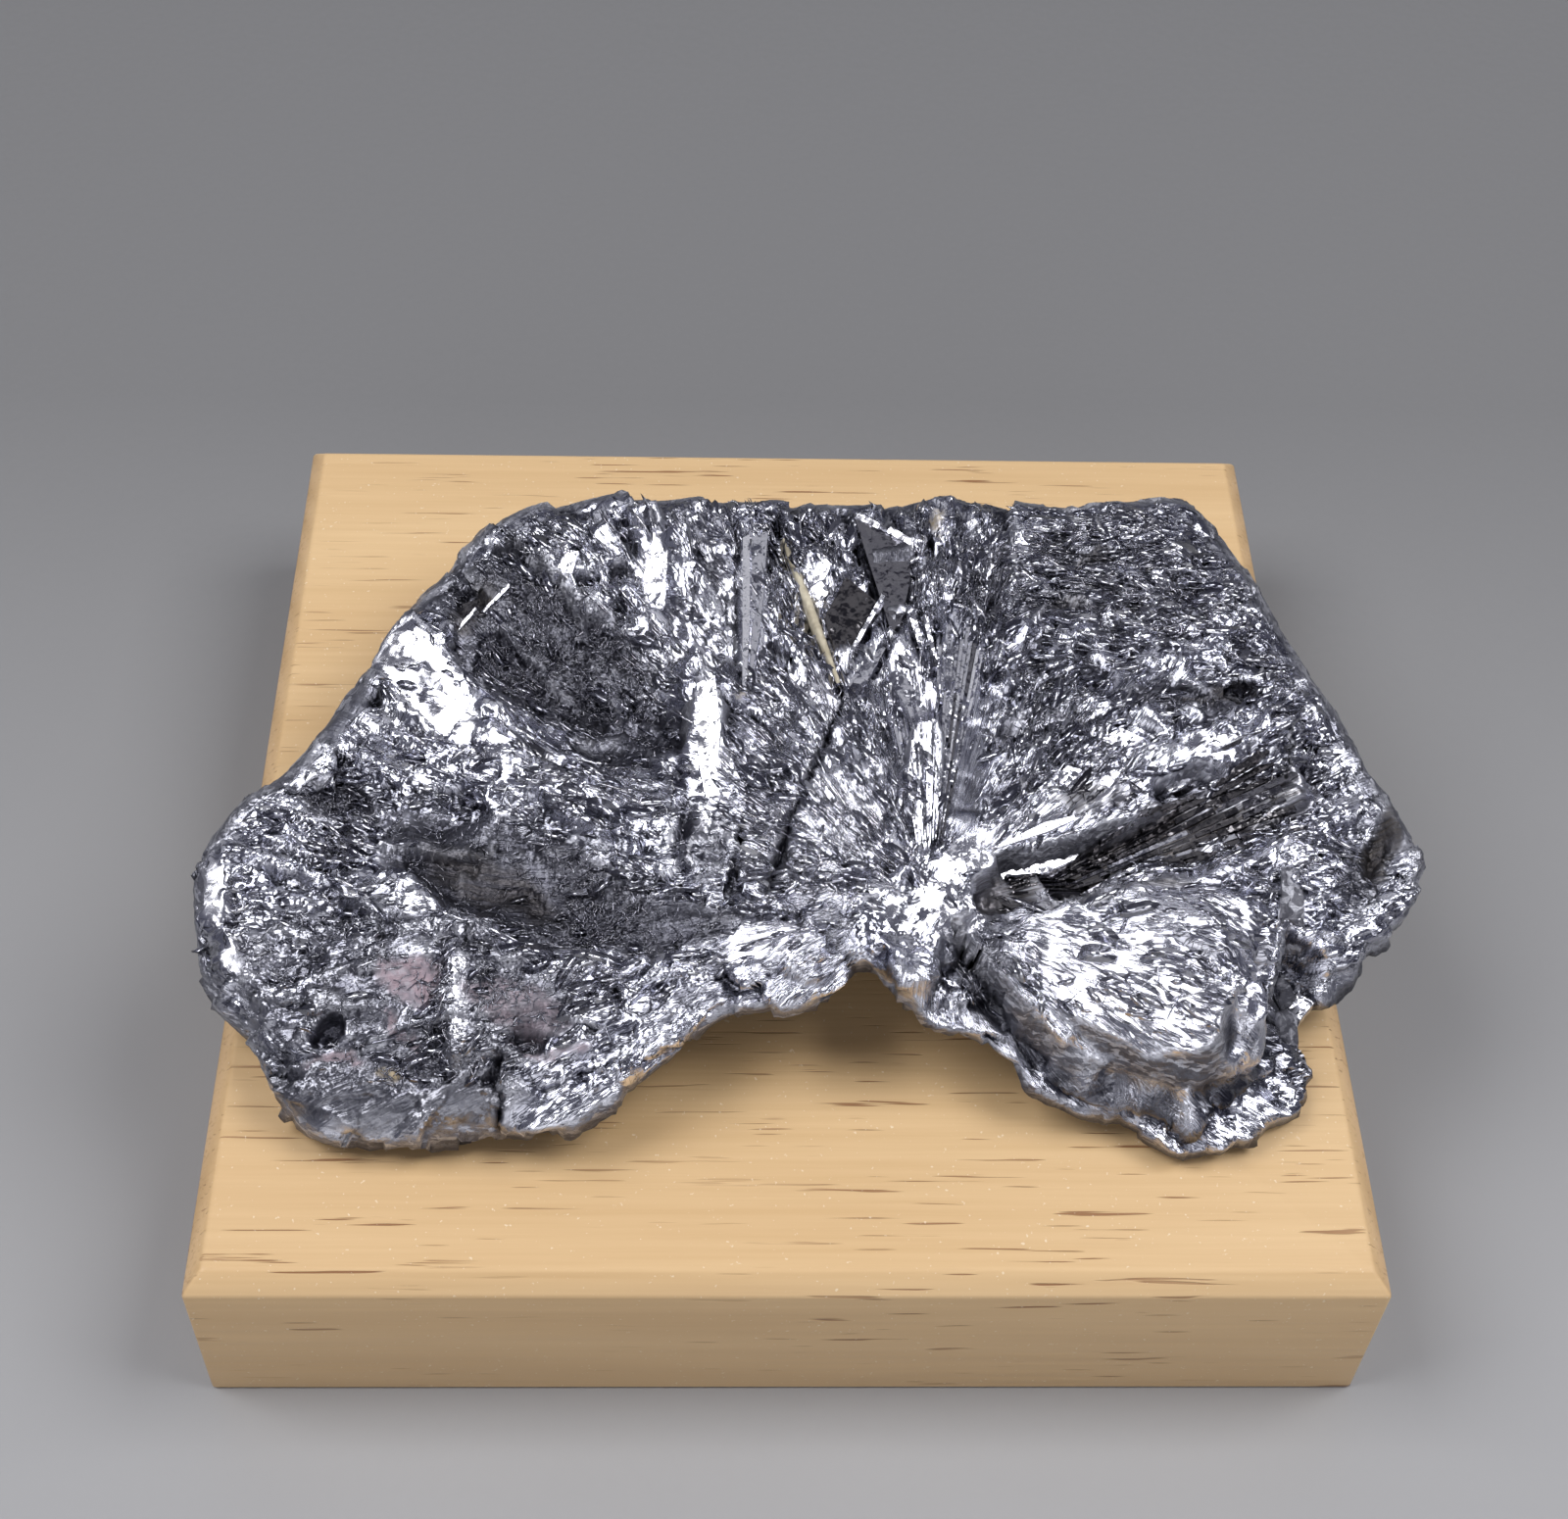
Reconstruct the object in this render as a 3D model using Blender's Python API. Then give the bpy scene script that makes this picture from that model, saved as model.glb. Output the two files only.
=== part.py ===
"""A molybdenite specimen lying on a square block of pine.

Units are metres and +Z is up. The origin is the centre of the block's underside. The specimen is one
grown mass with a thin sliver of quartz caught between its plates. It stands on the block on three low
feet: one under each front lobe and one behind, with a hollow arch between the lobes.

The mass is a loft along X. Each section is a closed loop that runs over the top from the front edge to
the back edge and returns underneath. The heights of the top and of the underside are smooth sheets
through named spot heights. Long blades that fan out from a focus, flat plates, ridges, hollows, pits
and a step are then laid over the top, and flat facets crumple the whole skin.
"""
import math

import bmesh
import bpy
import numpy as np

MM = 0.001

# The block.
BLOCK_SIDE = 0.102
BLOCK_HEIGHT = 0.019
BLOCK_CHAMFER = 0.0016

# The loft of the mass.
STATIONS = 92
TOP_STEPS = 36
UNDER_STEPS = 15
REST_GAP = 0.3
RIM_ROUND_LEAST = 1.6
RIM_ROUND_MOST = 5.5
TOP_SHARE_OF_RIM = 0.52
EDGE_CROWDING = 0.55
OUTLINE_POINTS = 240
LEAST_THICKNESS = 2.2

# The point that the blades radiate from, in millimetres in plan.
FOCUS = (12.0, -21.5)

# Plan outline in millimetres, both edges from the left tip to the right tip.
FRONT_EDGE = (
    (-53.3, -17.0), (-52.2, -23.0), (-49.4, -27.3), (-45.9, -31.4), (-43.6, -35.7), (-39.0, -38.6),
    (-32.0, -39.0), (-26.0, -38.5), (-20.5, -38.6), (-15.0, -36.3), (-10.0, -33.8), (-6.4, -30.8),
    (-1.0, -30.4), (3.8, -29.2), (6.2, -26.2), (8.6, -28.8), (12.5, -31.0), (16.5, -31.4),
    (19.4, -33.0), (24.0, -34.8), (30.0, -35.8), (34.5, -38.2), (40.0, -35.8), (44.8, -32.8),
    (44.8, -29.4), (42.0, -26.8), (45.4, -25.2), (50.6, -22.2), (56.0, -17.0), (58.8, -11.8),
)
BACK_EDGE = (
    (-53.3, -17.0), (-53.0, -13.2), (-50.2, -8.6), (-45.3, -3.4), (-40.9, 5.2), (-36.6, 14.4),
    (-31.5, 23.4), (-26.3, 29.2), (-19.0, 30.8), (-6.0, 30.6), (4.0, 29.9), (14.0, 30.3),
    (26.0, 30.2), (36.0, 31.0), (41.6, 30.5), (44.9, 25.2), (50.2, 9.4), (53.6, -0.3),
    (57.4, -8.6), (58.8, -11.8),
)

# Spot heights of the top, in millimetres: x, y, height above the block.
TOP_SPOTS = (
    # back rim
    (-26, 28, 13.0), (-10, 29, 14.0), (5, 29, 14.5), (20, 29, 14.5), (40, 29, 14.0),
    # right rim and tip
    (46, 20, 13.8), (50, 8, 13.4), (54, -2, 12.6), (57, -9, 10.4), (55, -17, 8.4), (49, -22, 8.8),
    (43, -26, 8.4),
    # edge over the arch
    (14, -30, 12.2), (6, -26, 12.6), (0, -30, 12.2), (-6, -30, 11.6), (-12, -33, 9.4),
    # left rim
    (-52, -21, 8.6), (-52, -13, 11.0), (-46, -5, 12.8), (-41, 6, 14.0), (-36, 15, 13.8), (-30, 24, 13.4),
    # far wall and floor of the left hollow
    (-23, 19, 13.2), (-23, 14, 11.4), (-21, 6, 9.4), (-27, 6, 10.0), (-15, 3, 10.2), (-18, -3, 10.9),
    # spur between the two hollows, then its outer face
    (-34, 11, 14.2), (-28, 2, 13.8), (-20, -7, 13.2), (-14, -14, 13.0), (-36, 3, 12.4), (-30, -5, 11.6),
    # small hollow by the left rim
    (-41, -6, 10.6), (-46, -12, 11.2),
    # front hollow
    (-27, -18, 9.0), (-18, -21, 9.2), (-34, -14, 10.0), (-22, -13, 11.2), (-12, -21, 10.8),
    # wall between the front hollow and the left lobe
    (-35, -20, 11.6), (-26, -25, 11.4), (-18, -27, 11.2), (-11, -29, 11.4),
    # left lobe: top, then front shoulder
    (-34, -28, 10.8), (-22, -30, 10.2), (-43, -23, 10.0), (-41, -33, 7.6), (-30, -36, 7.2), (-21, -36, 7.6),
    # radiating middle
    (-14, 21, 13.6), (-10, 16, 13.8), (-4, 22, 14.2), (-11, -2, 12.4), (-6, -4, 15.0), (-5, -14, 14.8),
    (-2, 4, 14.6), (3, 12, 14.2), (7, 22, 14.2), (5, 1, 14.4), (6, -11, 14.6), (-1, -18, 14.0),
    (0, -25, 14.0), (13, 10, 15.0), (16, 3, 15.6), (14, -14, 15.8), (11, -23, 14.6), (11, -28, 13.0),
    # right block
    (25, 21, 14.8), (36, 19, 14.8), (26, 6, 15.0), (35, 7, 14.6), (44, 4, 13.8), (22, -6, 14.8),
    (31, -4, 15.0), (40, -1, 14.8),
    # wall above the trough, then its bottom
    (19, -15, 14.8), (26, -12, 14.4), (35, -7, 13.6), (46, -2, 13.4), (18, -21, 12.2), (26, -16, 10.4),
    (35, -12, 9.8), (45, -8, 9.8), (52, -5, 10.6),
    # right lobe: crest, then the foot of its great face
    (22, -24, 13.8), (29, -21, 15.0), (38, -21, 14.4), (40, -27, 12.6), (48, -16, 12.2), (21, -32, 9.8),
    (29, -34, 8.8), (35, -35, 8.4),
    # recess by the right tip
    (53, -12, 8.8), (49, -19, 9.2),
)

# Spot heights of the underside, in millimetres: x, y, height above the block.
UNDER_SPOTS = (
    # left foot and the rise behind it
    (-34, -32, 0.0), (-40, -28, 0.4), (-28, -33, 0.4), (-46, -20, 3.5), (-48, -12, 6.0), (-40, 0, 6.8),
    (-34, 10, 6.8), (-27, 20, 6.2),
    # right foot and the rise behind it
    (34, -33, 0.0), (40, -30, 0.4), (27, -32, 1.4), (50, -18, 3.8), (54, -10, 5.4), (50, 2, 6.2),
    (44, 18, 6.2), (38, 26, 6.6),
    # back foot and the rim behind it
    (5, 17, 0.0), (-8, 17, 0.8), (18, 17, 0.8), (5, 28, 5.8), (-15, 27, 5.8), (25, 28, 6.0),
    # arch between the lobes
    (3, -28, 9.6), (12, -29, 8.8), (-6, -29, 8.6), (3, -15, 8.4), (-14, -21, 5.8), (17, -21, 5.8),
    # middle
    (0, 0, 5.0), (-24, -5, 3.8), (30, -5, 4.0),
)

# Flat plates set into the top: centre in plan, half length, half width, bearing of the length in
# degrees from +X, slopes of the plate (rise towards +X, rise towards +Y) and lift, in millimetres.
FACES_LEFT = (0.34, 0.38)
FACES_RIGHT = (-0.34, 0.38)
FACES_FRONT = (0.0, 0.28)
NEAR_LEVEL = (0.05, 0.04)
PLATE_END_EASE = 1.6
PLATE_SIDE_EASE = 0.9
PLATES = (
    # outer face of the spur, and the streak below it
    ((-33.5, 5.1), 6.3, 2.8, -50, FACES_LEFT, 0.2),
    ((-22.3, -7.4), 8.6, 1.4, -45, FACES_LEFT, 0.3),
    # edge in the left hollow
    ((-28.6, 12.9), 3.8, 0.9, 42, FACES_RIGHT, 0.6),
    # left rim
    ((-51.2, -16.7), 3.1, 1.2, -83, (0.50, 0.30), 0.3),
    ((-49.8, -22.8), 2.3, 1.1, -63, (0.50, 0.30), 0.3),
    # tall wedge, and the blades behind it
    ((-8.0, -6.9), 7.6, 1.6, -94, (0.40, 0.30), 0.2),
    ((-13.2, 20.3), 6.1, 1.4, -82, FACES_LEFT, 0.4),
    ((-16.9, 21.7), 3.3, 1.3, -67, FACES_LEFT, 0.3),
    ((-10.3, 15.3), 7.1, 1.0, -88, FACES_LEFT, 0.5),
    # pale upright blade
    ((-3.3, 13.7), 11.1, 1.4, -91, NEAR_LEVEL, 0.6),
    # plates crossing between the cracks
    ((3.3, 18.1), 2.5, 1.5, -95, FACES_RIGHT, 0.1),
    ((6.2, 13.1), 3.9, 1.8, -113, (-0.10, 0.20), 0.0),
    ((7.3, 5.8), 3.5, 1.3, -120, (0.25, 0.15), 0.2),
    ((10.6, 17.6), 3.5, 2.3, -92, FACES_FRONT, -0.2),
    # fan blade, white ridge and striated bundle
    ((11.5, 3.6), 5.9, 1.3, -71, FACES_LEFT, 0.4),
    ((12.1, -12.2), 8.1, 1.7, -93, FACES_LEFT, 0.5),
    ((15.8, -2.3), 14.1, 1.9, -94, (-0.16, 0.08), 0.6),
    # boss at the focus
    ((11.4, -23.6), 3.2, 2.8, -128, FACES_LEFT, 0.3),
    # crests above the trough, then the plates in it
    ((22.7, -14.9), 8.1, 1.0, 22, FACES_RIGHT, 0.7),
    ((21.1, -17.6), 5.9, 0.8, 25, FACES_RIGHT, 0.5),
    ((40.8, -6.3), 7.2, 2.3, -159, FACES_FRONT, 0.0),
    ((34.2, -11.7), 10.0, 1.4, -157, (0.05, 0.34), 0.0),
    ((18.8, -19.7), 2.7, 1.8, -107, (-0.25, 0.10), -0.3),
    # great face of the right lobe
    ((28.9, -29.5), 8.3, 3.8, -30, (0.30, 0.42), 0.2),
    # chips on the right block
    ((29.3, -7.6), 1.4, 1.0, 14, FACES_RIGHT, 0.3),
    ((38.9, -4.2), 1.8, 1.0, -8, FACES_RIGHT, 0.3),
    ((43.8, -2.6), 1.4, 1.1, -45, FACES_LEFT, 0.3),
)

# Creased ridges: the points of the crest, half width and height, in millimetres.
RIDGES = (
    # rim of the left lobe against the front hollow
    (((-34.7, -16.2), (-30.6, -20.8), (-24.4, -24.9), (-15.2, -25.9), (-10.1, -27.5)), 2.0, 1.0),
    # crest of the spur
    (((-36.4, 10.0), (-31.3, 2.9), (-25.2, -4.2), (-17.1, -12.3)), 2.4, 0.8),
    # blades of the middle
    (((-9.8, 22.8), (-8.8, 6.6), (-6.5, -6.5), (-8.0, -17.6)), 1.8, 0.9),
    (((1.6, 2.2), (0.9, -10.9), (3.6, -21.0)), 1.8, 0.9),
    (((6.7, 26.5), (12.7, 22.0)), 1.4, 0.9),
    # chain along the front of the right block
    (((28.3, -6.2), (38.4, -3.2), (46.5, -1.1)), 2.0, 0.8),
    # crest of the right lobe, and the rib between the trough's plates
    (((20.5, -23.7), (28.7, -21.7), (36.8, -25.7), (40.9, -30.8)), 2.2, 0.8),
    (((47.6, -6.5), (34.2, -9.5), (24.0, -14.6)), 1.0, 0.6),
    # rim outside the recess by the right tip
    (((58.0, -11.5), (55.8, -16.0), (50.5, -21.0)), 1.4, 1.0),
    # streak over the left lobe, and the lip right of the notch
    (((-28.8, -24.5), (-28.8, -33.8)), 1.6, 0.8),
    (((7.3, -24.2), (10.4, -29.3)), 1.5, 0.8),
)

# Hollows and pits: centre, half length, half width, bearing of the length in degrees, depth.
HOLLOWS = (
    ((-22.0, 13.5), 7.0, 4.0, 10.0, 0.6),
    ((-19.3, 18.1), 1.7, 1.5, 0.0, 1.8),
    ((-16.0, 19.5), 1.6, 1.4, 0.0, 1.8),
    ((-29.9, 15.2), 3.0, 1.6, 50.0, 0.8),
    ((-44.8, -16.5), 3.2, 1.3, -24.0, 1.3),
    ((-41.0, -7.0), 3.4, 2.4, 0.0, 0.6),
    ((-39.9, -31.0), 2.2, 1.5, 20.0, 1.8),
    ((-22.1, -32.4), 2.4, 1.6, 0.0, 1.6),
    ((-0.9, -16.7), 4.2, 1.4, 78.0, 1.4),
    ((37.5, 2.8), 2.6, 1.5, 0.0, 1.6),
    ((42.7, 3.6), 2.0, 1.5, 0.0, 1.4),
    ((53.4, -13.0), 4.0, 1.9, 62.0, 1.6),
    ((23.3, 14.7), 3.0, 1.6, -60.0, 0.8),
    ((24.0, -20.0), 5.0, 1.7, 28.0, 0.8),
)

# The step round the front of the right lobe: its line in plan, drop, width and reach, in millimetres.
STEP_LINE = (
    (18.7, -28.8), (20.6, -30.9), (22.6, -32.9), (25.4, -34.0), (29.4, -34.8), (33.0, -35.4),
    (36.8, -34.8), (40.0, -32.8), (41.6, -30.4), (42.2, -28.0),
)
STEP_DROP = 3.6
STEP_WIDTH = 1.3
STEP_REACH = 8.0

# Long blades of the middle: length, width at the blade radius, spread of slope and of step.
BLADE_LENGTH = 18.0
BLADE_WIDTH = 3.4
BLADE_RADIUS = 28.0
BLADE_SLOPE = 0.30
BLADE_STEP = 0.35
BLADE_SEED = 21
BLADE_FAN_MIDDLE = math.radians(100.0)
BLADE_FAN_SPREAD = math.radians(64.0)

# Flat facets of the crumpled skin: size, how much longer than wide they are along the blades, spread
# of slope and of step, how far the facets' borders wander, in millimetres, how much of them a flat
# plate takes away, and the share of them left where the skin turns over the rim.
FACET_SIZE = 4.4
FACET_STRETCH = 1.6
FACET_SLOPE = 0.20
FACET_STEP = 0.24
FACET_WANDER = 1.2
PLATE_CALM = 0.8
RIM_SHARE = 0.45
FACET_SEED = 31
LATTICE = 32

# The sliver of quartz: its two ends in plan, width, depth and the clearance round it, in millimetres.
SLIVER_BACK = (0.0, 23.0)
SLIVER_FRONT = (4.8, 4.2)
SLIVER_WIDTH = 1.0
SLIVER_DEPTH = 3.4
SLIVER_TOP = 14.4
SLIVER_CLEARANCE = 0.3

MOLYBDENITE = ((0.30, 0.30, 0.35, 1.0), 0.28, 1.0)
PINE = ((0.78, 0.60, 0.37, 1.0), 0.55, 0.0)
QUARTZ = ((0.62, 0.58, 0.45, 1.0), 0.45, 0.0)


def clear_scene():
    """Remove whatever objects the scene holds."""
    for item in list(bpy.data.objects):
        bpy.data.objects.remove(item, do_unlink=True)


def new_collection(name):
    """A collection linked to the scene."""
    made = bpy.data.collections.new(name)
    bpy.context.scene.collection.children.link(made)
    return made


def new_material(name, look):
    """A Principled material from its colour, roughness and metallic value."""
    colour, roughness, metallic = look
    material = bpy.data.materials.new(name)
    material.use_nodes = True
    shader = material.node_tree.nodes["Principled BSDF"]
    shader.inputs["Base Color"].default_value = colour
    shader.inputs["Roughness"].default_value = roughness
    shader.inputs["Metallic"].default_value = metallic
    return material


def object_from(bm, name, collection, material=None):
    """An object made of a finished bmesh."""
    mesh = bpy.data.meshes.new(name)
    bm.to_mesh(mesh)
    bm.free()
    made = bpy.data.objects.new(name, mesh)
    collection.objects.link(made)
    if material is not None:
        mesh.materials.append(material)
    return made


def smooth_curve(points, samples):
    """Evenly spaced points along a Catmull-Rom curve through the given points."""
    knots = np.array(points, dtype=float)
    knots = np.vstack((2 * knots[0] - knots[1], knots, 2 * knots[-1] - knots[-2]))
    t = np.linspace(0.0, 1.0, 12, endpoint=False)[:, None]
    runs = []
    for before, start, end, after in zip(knots, knots[1:], knots[2:], knots[3:]):
        bend = 2 * before - 5 * start + 4 * end - after
        twist = 3 * start - before - 3 * end + after
        runs.append(0.5 * (2 * start + (end - before) * t + bend * t ** 2 + twist * t ** 3))
    line = np.vstack(runs + [knots[-2][None, :]])
    walked = np.concatenate(([0.0], np.cumsum(np.hypot(*np.diff(line, axis=0).T))))
    wanted = np.linspace(0.0, walked[-1], samples)
    return np.column_stack([np.interp(wanted, walked, line[:, axis]) for axis in (0, 1)])


def thin_plate(plan, spots):
    """Heights over plan points of the thin-plate sheet that passes through the spot heights."""
    sites = np.array(spots, dtype=float)[:, :2]
    heights = np.array(spots, dtype=float)[:, 2]
    count = len(sites)

    def kernel(points):
        squared = ((points[:, None, :] - sites[None, :, :]) ** 2).sum(axis=2)
        return squared * np.log(squared + 1e-9)

    system = np.zeros((count + 3, count + 3))
    system[:count, :count] = kernel(sites)
    system[:count, count:] = np.column_stack((np.ones(count), sites))
    system[count:, :count] = system[:count, count:].T
    weights = np.linalg.solve(system, np.append(heights, np.zeros(3)))
    flat = np.column_stack((np.ones(len(plan)), plan)) @ weights[count:]
    return kernel(plan) @ weights[:count] + flat


def distance_to_line(plan, line):
    """Distance from each plan point to a polyline, and which side of it the point lies on."""
    corners = np.array(line, dtype=float)
    nearest = np.full(len(plan), np.inf)
    side = np.zeros(len(plan))
    for start, end in zip(corners, corners[1:]):
        run = end - start
        reach = np.clip((plan - start) @ run / (run @ run), 0.0, 1.0)
        away = plan - (start + reach[:, None] * run)
        gap = np.hypot(away[:, 0], away[:, 1])
        closer = gap < nearest
        turn = run[0] * (plan[:, 1] - start[1]) - run[1] * (plan[:, 0] - start[0])
        side[closer] = np.sign(turn[closer])
        nearest[closer] = gap[closer]
    return nearest, side


def ease(value):
    """Smooth step from 0 to 1."""
    clipped = np.clip(value, 0.0, 1.0)
    return clipped * clipped * (3.0 - 2.0 * clipped)


def local_axes(plan, centre, bearing):
    """Plan points measured along and across an axis through a centre."""
    turn = math.radians(bearing)
    east = plan[:, 0] - centre[0]
    north = plan[:, 1] - centre[1]
    along = east * math.cos(turn) + north * math.sin(turn)
    across = north * math.cos(turn) - east * math.sin(turn)
    return along, across


def plate_mask(plan, plate):
    """How far each plan point lies on a plate, from 0 to 1, easing out at the plate's ends and sides."""
    centre, half_length, half_width, bearing = plate[:4]
    along, across = local_axes(plan, centre, bearing)
    ends = ease((half_length - np.abs(along)) / PLATE_END_EASE + 0.6)
    sides = ease((half_width - np.abs(across)) / PLATE_SIDE_EASE + 0.6)
    return ends * sides


def set_plates(plan, height):
    """Set the flat plates into the surface, each a plane through its centre's own height."""
    centres = np.array([plate[0] for plate in PLATES])
    levels = thin_plate(centres, TOP_SPOTS)
    for level, plate in zip(levels, PLATES):
        centre, slopes, lift = plate[0], plate[4], plate[5]
        plane = level + lift + (plan - centre) @ np.array(slopes)
        height = height + plate_mask(plan, plate) * (plane - height)
    return height


def add_ridges(plan, height):
    """Raise the creased ridges, roof-shaped across."""
    for crest, half_width, rise in RIDGES:
        away, _ = distance_to_line(plan, crest)
        height = height + rise * np.clip(1.0 - away / half_width, 0.0, 1.0)
    return height


def cut_hollows(plan, height):
    """Sink the hollows and pits, each a flat-bottomed ellipse with sloping walls."""
    for centre, half_length, half_width, bearing, depth in HOLLOWS:
        along, across = local_axes(plan, centre, bearing)
        height = height - depth * ease(1.6 * (1.0 - np.hypot(along / half_length, across / half_width)))
    return height


def cut_step(plan, height):
    """Drop the ground outside the step line, which leaves the crumpled ledge below the right lobe."""
    away, side = distance_to_line(plan, STEP_LINE)
    outside = away * np.where(side < 0.0, 1.0, -1.0)
    near = ease((STEP_REACH - away) / 2.0)
    return height - STEP_DROP * near * ease(outside / STEP_WIDTH + 0.5)


def lattice_noise(points, size, seed):
    """Smooth noise from -1 to 1: random values on a cubic lattice, eased between its points."""
    table = np.random.default_rng(seed).random((LATTICE, LATTICE, LATTICE)) * 2.0 - 1.0
    scaled = points / size
    base = np.floor(scaled).astype(int)
    share = ease(scaled - base)
    total = np.zeros(len(points))
    for corner in np.ndindex(2, 2, 2):
        weight = np.prod(np.where(corner, share, 1.0 - share), axis=1)
        row = (base + corner) % LATTICE
        total += weight * table[row[:, 0], row[:, 1], row[:, 2]]
    return total


def wander(points, size, seed):
    """Three noises, for moving points about."""
    return np.column_stack([lattice_noise(points, size, seed + axis) for axis in range(3)])


def flat_cells(points, flow, size, stretch, slope, step, seed):
    """Height of flat tilted cells in space, each round a shaken lattice point and longer along the flow."""
    table = np.random.default_rng(seed).random((LATTICE, LATTICE, LATTICE, 7))
    scaled = points / size
    base = np.floor(scaled).astype(int)
    best = np.full(len(points), np.inf)
    height = np.zeros(len(points))
    squeeze = 1.0 - 1.0 / stretch ** 2
    for shift in np.ndindex(3, 3, 3):
        cell = base + shift - 1
        row = table[cell[:, 0] % LATTICE, cell[:, 1] % LATTICE, cell[:, 2] % LATTICE]
        away = scaled - (cell + 0.15 + 0.7 * row[:, :3])
        gap = (away ** 2).sum(axis=1) - squeeze * (away * flow).sum(axis=1) ** 2
        nearer = gap < best
        lean = (away * (2.0 * row[:, 3:6] - 1.0)).sum(axis=1)
        own = 2.0 * row[:, 6] - 1.0
        height = np.where(nearer, 1.4 * slope * size * lean + step * own, height)
        best = np.where(nearer, gap, best)
    return height


def from_focus(plan):
    """Distance from the focus, bearing round it and the unit direction away from it."""
    away = plan - np.array(FOCUS)
    radius = np.hypot(away[:, 0], away[:, 1]) + 1e-6
    return radius, np.arctan2(away[:, 1], away[:, 0]), away / radius[:, None]


def add_blades(plan, height):
    """Lay long tilted blades over the middle, side by side round the focus and wider away from it."""
    radius, bearing, _ = from_focus(plan)
    spread = radius / BLADE_RADIUS
    here = np.column_stack((plan, np.zeros(len(plan))))
    drift = lattice_noise(here, 9.0, BLADE_SEED + 1)
    along = radius / BLADE_LENGTH + 0.8 * drift
    across = (bearing * BLADE_RADIUS + 1.1 * drift) / BLADE_WIDTH
    table = np.random.default_rng(BLADE_SEED).random((64, 64, 3))
    strip = np.floor(across).astype(int) % 64
    shifted = along + table[strip, 0, 0]
    part = np.floor(shifted).astype(int) % 64
    row = table[strip, part]
    lean = (2.0 * row[:, 1] - 1.0) * (across - np.floor(across) - 0.5) * BLADE_WIDTH * spread
    relief = 1.8 * BLADE_SLOPE * lean + BLADE_STEP * (2.0 * row[:, 2] - 1.0) * np.clip(spread, 0.3, 1.5)
    fan = ease(1.15 - np.abs(bearing - BLADE_FAN_MIDDLE) / BLADE_FAN_SPREAD)
    return height + relief * (0.3 + 0.7 * fan) * ease((radius - 2.0) / 6.0)


def across_shares(steps):
    """Shares of the way from the front edge to the back edge, closer together near the edges."""
    even = np.linspace(0.0, 1.0, steps + 1)
    return (1.0 - EDGE_CROWDING) * even + EDGE_CROWDING * (0.5 - 0.5 * np.cos(math.pi * even))


def rim_rounding(plan, top, under):
    """Bring top and underside together round the edge in a rounded rim."""
    front = smooth_curve(FRONT_EDGE, OUTLINE_POINTS)
    back = smooth_curve(BACK_EDGE, OUTLINE_POINTS)
    outline = np.vstack((front, back[-2::-1]))
    away, _ = distance_to_line(plan, outline)
    thickness = top - under
    reach = np.clip(0.55 * thickness, RIM_ROUND_LEAST, RIM_ROUND_MOST)
    inset = np.clip(1.0 - away / reach, 0.0, 1.0)
    fall = thickness * (1.0 - np.sqrt(1.0 - inset ** 2))
    return top - TOP_SHARE_OF_RIM * fall, under + (1.0 - TOP_SHARE_OF_RIM) * fall


def sheet_heights(plan):
    """Heights of the top and the underside above the block over plan points, in millimetres."""
    top = thin_plate(plan, TOP_SPOTS)
    top = add_blades(plan, top)
    top = set_plates(plan, top)
    top = add_ridges(plan, top)
    top = cut_hollows(plan, top)
    top = cut_step(plan, top)
    under = np.maximum(thin_plate(plan, UNDER_SPOTS), REST_GAP)
    top = np.maximum(top, under + LEAST_THICKNESS)
    return rim_rounding(plan, top, under)


def station_loops():
    """The closed section loops of the smooth skin, as points in millimetres above the block."""
    front = smooth_curve(FRONT_EDGE, STATIONS + 2)[1:-1]
    back = smooth_curve(BACK_EDGE, STATIONS + 2)[1:-1]
    over = across_shares(TOP_STEPS)
    below = across_shares(UNDER_STEPS)[::-1][1:-1]
    shares = np.concatenate((over, below))
    is_top = np.arange(len(shares)) <= TOP_STEPS
    plan = front[:, None, :] + (back - front)[:, None, :] * shares[None, :, None]
    top, under = sheet_heights(plan.reshape(-1, 2))
    shape = plan.shape[:2]
    height = np.where(is_top[None, :], top.reshape(shape), under.reshape(shape))
    return np.dstack((plan, height))


def loop_normals(loops):
    """Outward normals of the skin, from the steps along it and around it."""
    along = np.gradient(loops, axis=0)
    around = np.roll(loops, -1, axis=1) - np.roll(loops, 1, axis=1)
    normals = np.cross(along, around)
    return normals / (np.linalg.norm(normals, axis=2, keepdims=True) + 1e-12)


def crumpled(loops):
    """The skin with its flat facets raised and sunk along the normals."""
    points = loops.reshape(-1, 3)
    normals = loop_normals(loops).reshape(-1, 3)
    _, _, outward = from_focus(points[:, :2])
    flow = np.column_stack((outward, np.zeros(len(points))))
    moved = points + FACET_WANDER * wander(points, 3.0, 900)
    relief = flat_cells(moved, flow, FACET_SIZE, FACET_STRETCH, FACET_SLOPE, FACET_STEP, FACET_SEED)
    calm = PLATE_CALM * plate_cover(points[:, :2]) * (normals[:, 2] > 0.3)
    upward = RIM_SHARE + (1.0 - RIM_SHARE) * ease(normals[:, 2] / 0.8)
    relief = relief * (1.0 - calm) * upward
    points = points + normals * relief[:, None]
    points[:, 2] = np.maximum(points[:, 2], REST_GAP)
    return points.reshape(loops.shape)


def plate_cover(plan):
    """How far each plan point is covered by a flat plate, from 0 to 1."""
    return np.maximum.reduce([plate_mask(plan, plate) for plate in PLATES])


def tip_point(edge_point):
    """The single point that closes one end of the loft."""
    plan = np.array([edge_point], dtype=float)
    top, under = sheet_heights(plan)
    return np.array([plan[0, 0], plan[0, 1], 0.5 * (top[0] + under[0])])


def place(point):
    """A point in millimetres above the block, as a position in metres."""
    return (point[0] * MM, point[1] * MM, point[2] * MM + BLOCK_HEIGHT)


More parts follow.
